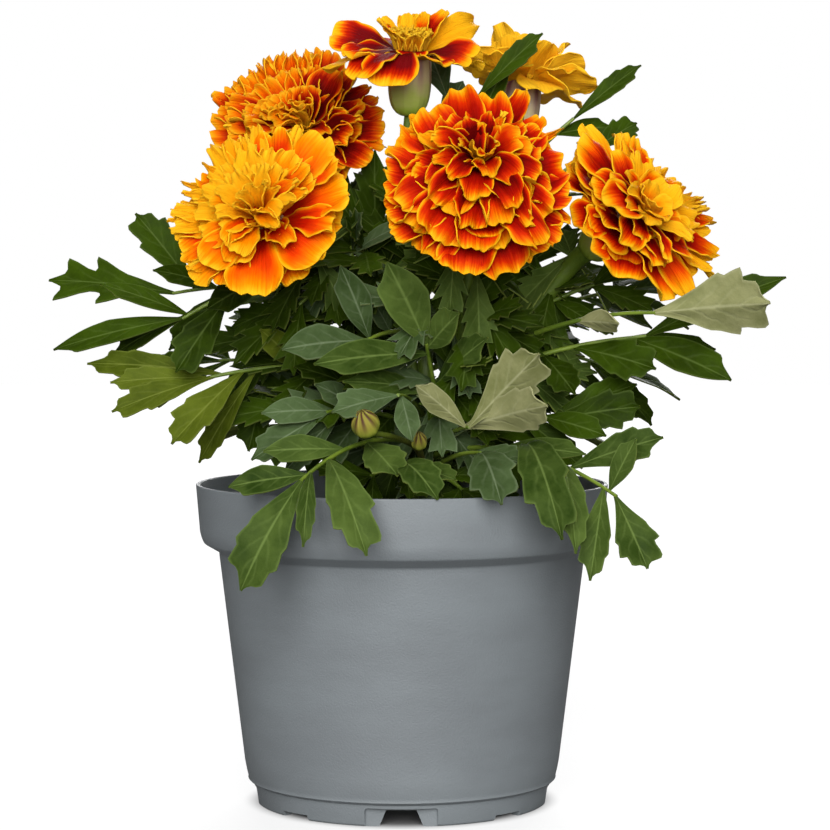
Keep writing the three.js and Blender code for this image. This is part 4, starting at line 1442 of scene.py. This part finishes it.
# Petals set one by one on the heads that face the front: where the petals part, the height of the plane that
# their tips are laid out in, and the layers. Each layer has the height of its tips, their curl and their cup.
# Each petal has the place of its tip on the clock, its distance from the middle, its width, its kind and its
# tone, which runs from golden at 0 to maroon at 1; some petals that sit in shade behind others are given tones
# near 1, so their maroon is partly painted shade.
CLOCKED = {
    "front": ((1.5, 9), 5, [
        (0, 26, 40, [
            (350, 29.5, 11, "broad", 0.6), (10, 27.5, 11, "broad", 0.7), (25, 32.5, 6, "tongue", 0.8),
            (42, 27, 7, "tongue", 0.7), (47, 24.5, 9, "broad", 0.95), (54, 29, 3, "pointed", 0.3),
            (74, 25, 14, "wavy", 0.95), (96, 26, 11, "broad", 0.9), (113, 28, 9, "pointed", 0.95),
            (127, 28.5, 12, "ragged", 0.85), (143, 27.5, 8, "wavy", 1), (163, 29, 13, "wavy", 0.8),
            (186, 28, 14, "ragged", 0.75), (208, 26, 9, "wavy", 0.8), (222, 26, 11, "ragged", 0.6),
            (234, 28, 10, "ragged", 0.8), (248, 26, 9, "wavy", 0.95), (262, 25, 9, "broad", 0.95),
            (278, 25, 8, "wavy", 0.95), (294, 26, 11, "ragged", 0.4), (312, 26, 9, "wavy", 0.4),
            (328, 26, 11, "wavy", 0.5),
        ]),
        (5, 44, 50, [
            (36, 23, 5, "tongue", 0.7), (20, 23, 3, "pointed", 0.2), (116, 22, 9, "wavy", 0.8),
            (137, 25.5, 9, "wavy", 0.75), (250, 22, 11, "broad", 0.6), (272, 19, 8, "wavy", 0.95),
            (211, 21, 14, "ragged", 0.6), (180, 20.5, 11, "ragged", 0.75), (164, 21, 9, "ragged", 0.3),
            (312, 21, 4.5, "tongue", 0.1), (336, 21, 9, "wavy", 0.9), (98, 20, 8, "wavy", 0.9),
            (230, 22.5, 8, "wavy", 0.8), (64, 20, 8, "wavy", 0.8),
        ]),
        (9, 50, 70, [
            (352, 20, 6, "pointed", 1), (10, 22, 5, "pointed", 0.8), (318, 18, 6, "tongue", 0.5),
            (333, 16, 6, "tongue", 0.9), (43, 18.5, 9, "fan", 0.25), (60, 17.5, 8, "wavy", 0.25),
            (83, 17.5, 7, "wavy", 0.95), (130, 19.5, 8, "pointed", 0.8), (72, 14.5, 5, "tongue", 0.0),
            (150, 14.5, 9, "ragged", 0.4), (262, 12.5, 8, "broad", 0.9), (214, 12, 9, "broad", 0.35),
            (298, 13, 5, "tongue", 0.4), (240, 13.5, 7, "wavy", 0.8), (112, 14, 7, "wavy", 0.9),
            (188, 14, 8, "wavy", 0.9),
        ]),
        (12.5, 56, 90, [
            (86, 11, 8, "broad", 0.6), (124, 13, 9, "tongue", 0.95), (184, 5, 8, "broad", 0.55),
            (64, 4.5, 7, "tongue", 0.3), (334, 12, 4, "tongue", 0.5), (6, 9, 6, "tongue", 0.35),
            (28, 13, 5, "pointed", 0.4), (280, 7, 6, "tongue", 0.8),
        ]),
    ]),
    "left_front": ((-1, 0), 5, [
        (1, 24, 30, [
            (329, 27.5, 5, "tongue", 0), (318, 24, 3, "pointed", 0.1), (308, 22, 6, "broad", 0.95),
            (293, 24, 4.5, "pointed", 0), (285, 23, 4, "pointed", 0.05), (279, 26, 5, "ragged", 0.05),
            (272, 26.5, 4, "pointed", 0), (266, 26, 5, "ragged", 0.05), (260, 25, 6, "ragged", 0.1),
            (246, 25, 10, "broad", 1), (341, 26.5, 5, "ragged", 0.1), (349, 26, 4, "ragged", 0.1),
            (359, 28, 5, "tongue", 0), (9, 26, 11, "fan", 0.9), (24, 28, 3.5, "ragged", 0),
            (42, 28, 11, "broad", 0.35), (58, 25.5, 8, "broad", 0.6), (82, 25, 18, "ragged", 0.4),
            (135, 24.5, 17, "broad", 0.6), (112, 22, 9, "wavy", 0.7), (186, 27.5, 14, "ragged", 0.5),
            (205, 25.5, 9, "wavy", 0.95), (223, 28, 8, "wavy", 0.35), (234, 26, 2.5, "pointed", 0),
            (162, 22, 8, "wavy", 0.7), (300, 26, 3, "pointed", 0), (236, 26, 7, "wavy", 0.7),
        ]),
        (6, 36, 45, [
            (350, 22, 7, "fan", 0), (12, 20, 6, "ragged", 0), (50, 18.5, 5, "tongue", 0.4),
            (227, 22, 10, "broad", 0.45), (276, 19, 6, "ragged", 0), (288, 20, 5, "pointed", 0.05),
            (302, 19, 6, "ragged", 0), (316, 20.5, 5, "ragged", 0), (330, 20, 5, "tongue", 0.05),
            (262, 18, 6, "ragged", 0.1), (30, 20, 6, "ragged", 0.2), (208, 18, 8, "wavy", 0.6),
            (64, 17, 7, "wavy", 0.5), (150, 15, 7, "wavy", 0.6), (246, 18, 7, "ragged", 0.3),
        ]),
        (10.5, 40, 70, [
            (208, 15, 8, "ragged", 0.15), (246, 12, 7.5, "tongue", 0.05), (305, 15.5, 5, "tongue", 0),
            (288, 15.5, 5, "tongue", 0.3), (323, 16, 4.5, "pointed", 0), (334, 15.5, 4.5, "tongue", 0),
            (346, 16, 4.5, "pointed", 0), (357, 15, 4.5, "tongue", 0), (8, 14.5, 4.5, "pointed", 0),
            (20, 15, 4.5, "tongue", 0.1), (34, 14, 4.5, "pointed", 0.1), (75, 13.5, 6, "pointed", 0.4),
            (54, 13, 5, "pointed", 0.5), (270, 13, 5, "ragged", 0), (228, 14, 6, "tongue", 0.4),
        ]),
        (13.5, 40, 90, [
            (80, 9, 4.5, "tongue", 0), (110, 5, 6, "broad", 0.1), (340, 9, 4, "tongue", 0),
            (10, 9, 4, "pointed", 0), (312, 9, 4, "tongue", 0), (40, 8, 4, "pointed", 0.1),
            (150, 7, 5, "tongue", 0.2), (285, 8, 4, "tongue", 0.1),
        ]),
    ]),
    # On this head the petals at clocks 60 to 132 sit behind others and have tone 1, so their deep maroon is
    # partly their own colour and partly painted shade.
    "left_back": ((1, 0), 8, [
        (3, 30, 35, [
            (299, 30, 9, "pointed", 0.8), (306, 27.5, 6, "ragged", 0.3), (313, 27.5, 6, "ragged", 0.25),
            (320, 27.5, 6, "ragged", 0.2), (328, 28.5, 6, "ragged", 0.25), (335, 29, 6, "ragged", 0.2),
            (342, 30, 6, "ragged", 0.25), (350, 30, 6, "ragged", 0.3), (357, 30.5, 6, "ragged", 0.35),
            (4, 30, 5, "ragged", 0.3), (11, 29.5, 6, "ragged", 0.4), (18, 29.5, 7, "ragged", 0.6),
            (25, 28, 7, "ragged", 0.6), (285, 27, 8, "ragged", 0.5), (271, 26, 9, "wavy", 0.5),
            (256, 25, 9, "wavy", 0.5), (240, 25, 10, "wavy", 0.6), (60, 24.5, 8, "pointed", 1),
            (73, 25, 8, "tongue", 1), (88, 25.5, 8, "tongue", 1), (104, 26.5, 7, "broad", 1),
            (118, 29, 8, "pointed", 0.5), (132, 28.5, 8, "broad", 1), (146, 24, 9, "wavy", 0.5),
            (152, 25, 10, "broad", 0.5),
            (170, 24, 10, "wavy", 0.5), (190, 24, 10, "wavy", 0.6), (208, 24, 10, "wavy", 0.6),
            (224, 24, 10, "wavy", 0.6),
        ]),
        (10, 34, 45, [
            (296, 24.5, 6, "ragged", 0.4), (303, 22, 6, "ragged", 0.2), (311, 21.5, 6, "ragged", 0.25),
            (319, 21, 6, "ragged", 0.2), (327, 21.5, 6, "ragged", 0.2), (336, 22, 6, "ragged", 0.25),
            (346, 22.5, 6, "ragged", 0.3), (355, 22.5, 6, "ragged", 0.3), (4, 22, 6, "ragged", 0.45),
            (12, 23, 6, "tongue", 0.95), (19, 21, 7, "tongue", 1), (38, 25, 9, "tongue", 1),
            (286, 22, 7, "ragged", 0.4), (276, 22, 7, "wavy", 0.4), (262, 21, 8, "wavy", 0.5),
            (92, 18.5, 4.5, "pointed", 0.85), (120, 17.5, 8, "wavy", 1), (134, 16, 8, "wavy", 0.9),
            (44, 18, 8, "broad", 1),
        ]),
        (15, 34, 60, [
            (291, 18, 6, "ragged", 0.3), (299, 15.5, 5.5, "ragged", 0.2), (309, 14.5, 5.5, "ragged", 0.2),
            (319, 14, 5.5, "ragged", 0.2), (331, 14.5, 5.5, "ragged", 0.25), (342, 14.5, 5.5, "ragged", 0.3),
            (353, 15, 5.5, "ragged", 0.3), (4, 15, 5.5, "tongue", 0.6), (16, 15, 6, "tongue", 0.95),
            (281, 17, 6, "ragged", 0.3), (270, 16, 6, "wavy", 0.35), (28, 23.5, 11, "broad", 0.85),
            (255, 15, 6, "wavy", 0.5), (122, 10.5, 5, "tongue", 0.7),
        ]),
        (17, 36, 80, [
            (287, 12, 5, "ragged", 0.25), (300, 10, 5, "ragged", 0.2), (312, 9, 5, "ragged", 0.2),
            (328, 8.5, 5, "ragged", 0.3), (344, 8.5, 5, "ragged", 0.35), (0, 9, 5, "ragged", 0.5),
            (277, 8, 6, "ragged", 0.2), (268, 5, 5, "tongue", 0.1), (300, 6, 6, "broad", 0.7),
            (345, 4.5, 5, "tongue", 0.6), (190, 4, 4, "ragged", 0.05), (20, 8, 5, "tongue", 0.95),
            (240, 8, 5, "ragged", 0.3),
        ]),
    ]),
    "right": ((2, 1), 6, [
        (0, 26, 20, [
            (313, 29, 8, "broad", 0.15), (277, 25, 15, "broad", 1), (262, 22.5, 9, "broad", 0.6),
            (340, 25.5, 6, "tongue", 0.1), (348, 27, 6, "tongue", 0.5), (15, 22.5, 6, "broad", 0.1),
            (43, 23, 8, "broad", 0.5), (50, 26, 5, "ragged", 0.1), (55, 30, 3.5, "tongue", 0),
            (60, 30, 3.5, "pointed", 0.1), (69, 30, 6, "pointed", 0.8), (77, 26.5, 5, "ragged", 0.2),
            (92, 29.5, 6, "tongue", 0.75), (110, 28.5, 8, "broad", 0.15), (101, 27, 7, "ragged", 0.1),
            (163, 31.5, 16, "broad", 0.6), (143, 29.5, 8, "broad", 0.4), (192, 26.5, 14, "broad", 0.75),
            (218, 26.5, 15, "broad", 0.75), (240, 25, 9, "broad", 0.6), (128, 25, 9, "broad", 0.6),
            (30, 23, 8, "broad", 0.3), (290, 25, 10, "broad", 0.9),
        ]),
        (6, 40, 30, [
            (299, 26, 12, "broad", 0.8), (357, 26.5, 6, "tongue", 0.5), (1, 21, 8, "broad", 0.05),
            (34, 20.5, 12, "broad", 0.05), (68, 23, 8, "broad", 0.1), (85, 20, 7, "ragged", 0.2),
            (117, 21, 10, "broad", 0.9), (200, 19, 9, "broad", 0.85), (165, 20, 10, "broad", 0.7),
            (330, 19, 7, "tongue", 0.6), (265, 18, 10, "broad", 0.9),
        ]),
        (10, 44, 50, [
            (243, 13.5, 13, "broad", 0.8), (147, 18, 5.5, "tongue", 0.7), (96, 19, 4.5, "pointed", 0),
            (60, 14, 8, "broad", 0.1), (290, 12, 8, "broad", 0.8), (190, 12, 8, "broad", 0.85),
            (20, 14, 7, "broad", 0.1), (335, 12, 7, "tongue", 0.5),
        ]),
        (12.5, 46, 70, [
            (150, 5, 7, "broad", 0.05), (85, 9, 6, "tongue", 0.25), (240, 6, 6, "tongue", 0.5),
            (10, 7, 6, "broad", 0.05), (320, 6, 6, "tongue", 0.2), (50, 8, 5, "tongue", 0.1),
        ]),
    ]),
}
# Petals set one by one on the heads seen from the side: where the tip is in the object's frame, and the
# petal's width, kind, curl, cup, tone, and how far it is turned about its own length.
PLACED = {
    "top": [
        ((-20.5, 1, 223.5), 16, "broad", 16, 15, 1, -14), ((-16.5, -10, 216.5), 12, "wavy", 40, 30, 0.9, -18),
        ((-21.5, 8, 213.5), 12, "broad", 40, 20, 0.0, -20), ((-13.5, -17, 209), 14, "broad", 80, 20, 1, -10),
        ((-4.5, -19, 207), 17, "broad", 86, 20, 1, 0), ((21, -9, 215.5), 14, "fan", 46, 20, 0.7, 8),
        ((22, 12, 227), 9, "tongue", 80, 10, 0.0, 44), ((13, 14, 226), 9, "tongue", 24, 40, 0.4, 20),
        ((13, 2, 230), 8, "tongue", 34, 50, 0.5, 0), ((3, -10, 215.5), 9.5, "tongue", 100, 35, 0.9, 0),
        ((-5.5, -6, 225.5), 8, "tongue", 50, 60, 0.8, 0), ((-6.5, -1, 228), 7, "ragged", 20, 70, 0.05, 0),
        ((2, 3, 229.5), 7, "ragged", 16, 80, 0, 0), ((7, 1, 229.5), 5, "ragged", 16, 80, 0.3, 0),
        ((-10, 15, 222), 11, "broad", 30, 30, 0.8, 0), ((6, 18, 221), 12, "broad", 34, 30, 0.9, 0),
        ((23, 3, 214), 10, "wavy", 30, 25, 0.3, 10),
    ],
    "right_back": [
        ((24, 24, 218), 16, "broad", 20, 15, 0, 10), ((28.5, 34, 229), 12, "broad", 16, 30, 0, 0),
        ((38.5, 42, 226), 17, "fan", 16, 20, 0, 0), ((48, 40, 224), 16, "fan", 16, 20, 0.05, 0),
        ((55, 32, 216.5), 17, "broad", 22, 15, 0, -10), ((58, 24, 211), 14, "tongue", 24, 15, 0, -20),
        ((51, 16, 205.5), 17, "broad", 32, 15, 0, -15), ((42, 11, 207.5), 15, "broad", 34, 15, 0, 0),
        ((31, 13, 214), 14, "broad", 30, 20, 0, 10), ((43, 30, 223), 9, "wavy", 20, 40, 0.2, 0),
        ((35, 28, 224), 8, "ragged", 16, 50, 0.2, 0),
    ],
}

# How deep the small folds are on the heads with smoother petals; on the others they are 3 deep.
FOLD_DEPTH = {"left_front": 2.2, "top": 1.8, "right": 1.6, "right_back": 1.4}
# The share of a head's faces that stays, so that the whole plant stays under a million triangles.
FACES_KEPT = 0.68


def crinkle(piece, depth):
    """Small uneven folds over all the petals of a head."""
    folds = bpy.data.textures.get("petal folds") or bpy.data.textures.new("petal folds", "CLOUDS")
    folds.noise_scale = 0.009
    folds.noise_depth = 1
    work(piece, "DISPLACE", texture=folds, texture_coords="LOCAL", direction="NORMAL", strength=depth * MM)


def thicken(piece, top, under):
    """Gives the sheets their thickness, with one finish above and one below."""
    piece.data.materials.append(top)
    piece.data.materials.append(under)
    work(piece, "SOLIDIFY", thickness=PETAL_THICKNESS * MM, offset=-1, material_offset=1, material_offset_rim=0)


def whorl_petals(head, whorl, chance):
    count, start, lean, curl, length, width, cup, ring, rise, tone, kinds = whorl
    kinds = kinds.split()
    petals = []
    for i in range(count):
        clock = start + 360 / count * (i + chance.uniform(-0.3, 0.3))
        turn = math.radians(clock)
        petals.append(grow_petal(
            head,
            kinds[i % len(kinds)],
            mm(ring * math.sin(turn), ring * math.cos(turn), rise),
            clock,
            lean + chance.uniform(-8, 8),
            curl + chance.uniform(-18, 18),
            length * chance.uniform(0.85, 1.05),
            width * chance.uniform(0.8, 1.15),
            cup + chance.uniform(-30, 35),
            tone + chance.uniform(-0.25, 0.25),
            chance,
        ))
    return petals


def clocked_petals(head, heart, plane, layer, chance):
    """A layer of petals; each tip slides from the head's plane to its own height along the line of sight."""
    height, curl, cup, petals = layer
    heart = mm(*heart, 0) * min(1, height / 9)
    ring, rise = max(1.0, 4.5 - height * 0.25), min(4, height * 0.35)
    sight = head.frame.inverted() @ CAMERA
    laid = []
    for clock, reach, width, kind, tone in petals:
        turn = math.radians(clock)
        climb = height + chance.uniform(-1.8, 1.8) - plane
        tip = mm(reach * math.sin(turn), reach * math.cos(turn), plane) + sight * (climb * MM / sight.z)
        own_curl = curl + chance.uniform(-18, 18)
        own_cup = cup + chance.uniform(-35, 30)
        wide = width * PETAL_GAIN
        laid.append(aim_petal(head, kind, heart, tip, ring, rise, own_curl, wide, own_cup, tone, chance))
    return laid


def make_head(name, chance):
    """All petals of one head, as its outer and its inner piece."""
    head = HEADS[name]
    rounds = [whorl_petals(head, whorl, chance) for whorl in WHORLS[name]]
    outer, inner = rounds[0], [petal for whorl in rounds[1:] for petal in whorl]
    if name in CLOCKED:
        heart, plane, layers = CLOCKED[name]
        for order, layer in enumerate(layers):
            (inner if order else outer).extend(clocked_petals(head, heart, plane, layer, chance))
    for tip, width, kind, curl, cup, tone, roll in PLACED.get(name, []):
        own_tip = head.frame.inverted() @ mm(*tip)
        petal = aim_petal(head, kind, mm(0, 0, 0), own_tip, 3.5, 0.5, curl, width, cup, tone, chance, roll)
        outer.append(petal)
    for place, petals in (("outer", outer), ("inner", inner)):
        if petals:
            piece = gather(name + "_" + place + "_petals", petals)
            work(piece, "SUBSURF", levels=1, render_levels=1)
            crinkle(piece, FOLD_DEPTH.get(name, 3))
            work(piece, "DECIMATE", ratio=FACES_KEPT)
            thicken(piece, PETAL_PAINTS[name], PETAL_UNDER)
            smooth(piece, 70)
            stand_for(piece, "floret", name + "_" + place + "_florets")


def make_disc(chance):
    """The tight yellow tube florets in the middle of the top head."""
    head = HEADS["top"]
    parts = []
    for i in range(DISC["florets"]):
        reach = DISC["radius"] * math.sqrt((i + 0.5) / DISC["florets"])
        turn = math.radians(GOLDEN_TURN * i)
        foot = mm(math.sin(turn) * reach, math.cos(turn) * reach, DISC["foot"])
        height = chance.uniform(DISC["low"], DISC["high"])
        for side in range(DISC["sides"]):
            clock = GOLDEN_TURN * i + side * 360 / DISC["sides"] - 60
            tone = chance.random()
            parts.append(
                grow_petal(head, "pointed", foot, clock, 4, 50, height, DISC["width"], 90, tone, chance)
            )
    disc = gather("top_disc_tubes", parts)
    thicken(disc, DISC_GOLD, DISC_GOLD)
    smooth(disc, 70)
    stand_for(disc, "disc_floret", "top_disc_florets")


# ---- Studio ----
KEY_LIGHTS = (
    # name, where it shines from, how wide it is in degrees, and its power
    ("key", (-0.03, -1.0, 0.4), 50, 4.7),
    ("top", (0.1, 0.2, 1.0), 60, 0.7),
    ("back", (0.1, 1.0, 0.4), 40, 2.4),
)
# The paper glows towards the camera from the second of these distances on, and not under the pot, where the
# paper shows dark as painted shade under the pot.
GLOW = {"from": 0.037, "full": 0.047, "power": 0.77}


def make_floor():
    """White paper under the pot."""
    deselect()
    bpy.ops.mesh.primitive_plane_add(size=6)
    floor = bpy.context.object
    floor.name = "studio_floor"
    finish, tree, shader = new_finish(
        "studio white", Roughness=0.9, Specular_IOR_Level=0.1, Emission_Color=(1, 1, 1, 1)
    )
    paper = noise(tree, on_object(tree), 4.0)
    wire(tree, shader.inputs["Base Color"], blend(tree, paper, hex_colour("7c7c7c"), hex_colour("808080")))
    seen = tree.nodes.new("ShaderNodeLightPath").outputs["Is Camera Ray"]
    apart = tree.nodes.new("ShaderNodeVectorMath")
    apart.operation = "LENGTH"
    wire(tree, apart.inputs[0], on_object(tree))
    # No glow under the pot, so the paper there stays dark: painted shade under the pot.
    clear = step_up(tree, apart.outputs["Value"], GLOW["from"], GLOW["full"])
    wire(tree, shader.inputs["Emission Strength"], times(tree, times(tree, seen, GLOW["power"]), clear))
    floor.data.materials.append(finish)


def make_lights():
    """A dim room that looks white from the camera, and three broad lights."""
    world = bpy.data.worlds.new("studio")
    world.use_nodes = True
    tree = world.node_tree
    background = tree.nodes["Background"]
    seen = tree.nodes.new("ShaderNodeLightPath").outputs["Is Camera Ray"]
    wire(tree, background.inputs["Color"], blend(tree, seen, (0.07, 0.072, 0.075, 1), (1, 1, 1, 1)))
    bpy.context.scene.world = world
    for name, place, spread, power in KEY_LIGHTS:
        lamp = bpy.data.lights.new(name, "SUN")
        lamp.angle = math.radians(spread)
        lamp.energy = power
        light = bpy.data.objects.new(name, lamp)
        light.location = place
        light.rotation_euler = Vector(place).to_track_quat("Z", "Y").to_euler()
        bpy.context.collection.objects.link(light)


def make_camera():
    lens = bpy.data.cameras.new("camera")
    lens.lens = LENS["focal"]
    lens.sensor_width = LENS["sensor"]
    camera = bpy.data.objects.new("camera", lens)
    camera.location = CAMERA
    camera.rotation_euler = (math.radians(90 - LENS["down"]), 0, 0)
    bpy.context.collection.objects.link(camera)
    bpy.context.scene.camera = camera
    bpy.context.scene.view_settings.view_transform = "Standard"


make_floor()
make_lights()
make_camera()
make_pot()
make_soil(random.Random(3))
make_stems()
make_calyces()
make_buds()
make_leaves(random.Random(11))
make_filling(random.Random(21))
for order, head_name in enumerate(WHORLS):
    make_head(head_name, random.Random(100 + order))
make_disc(random.Random(5))
scrap(TUBE, *LEAFLETS.values(), *[sheet for sheets in PETALS.values() for sheet in sheets])
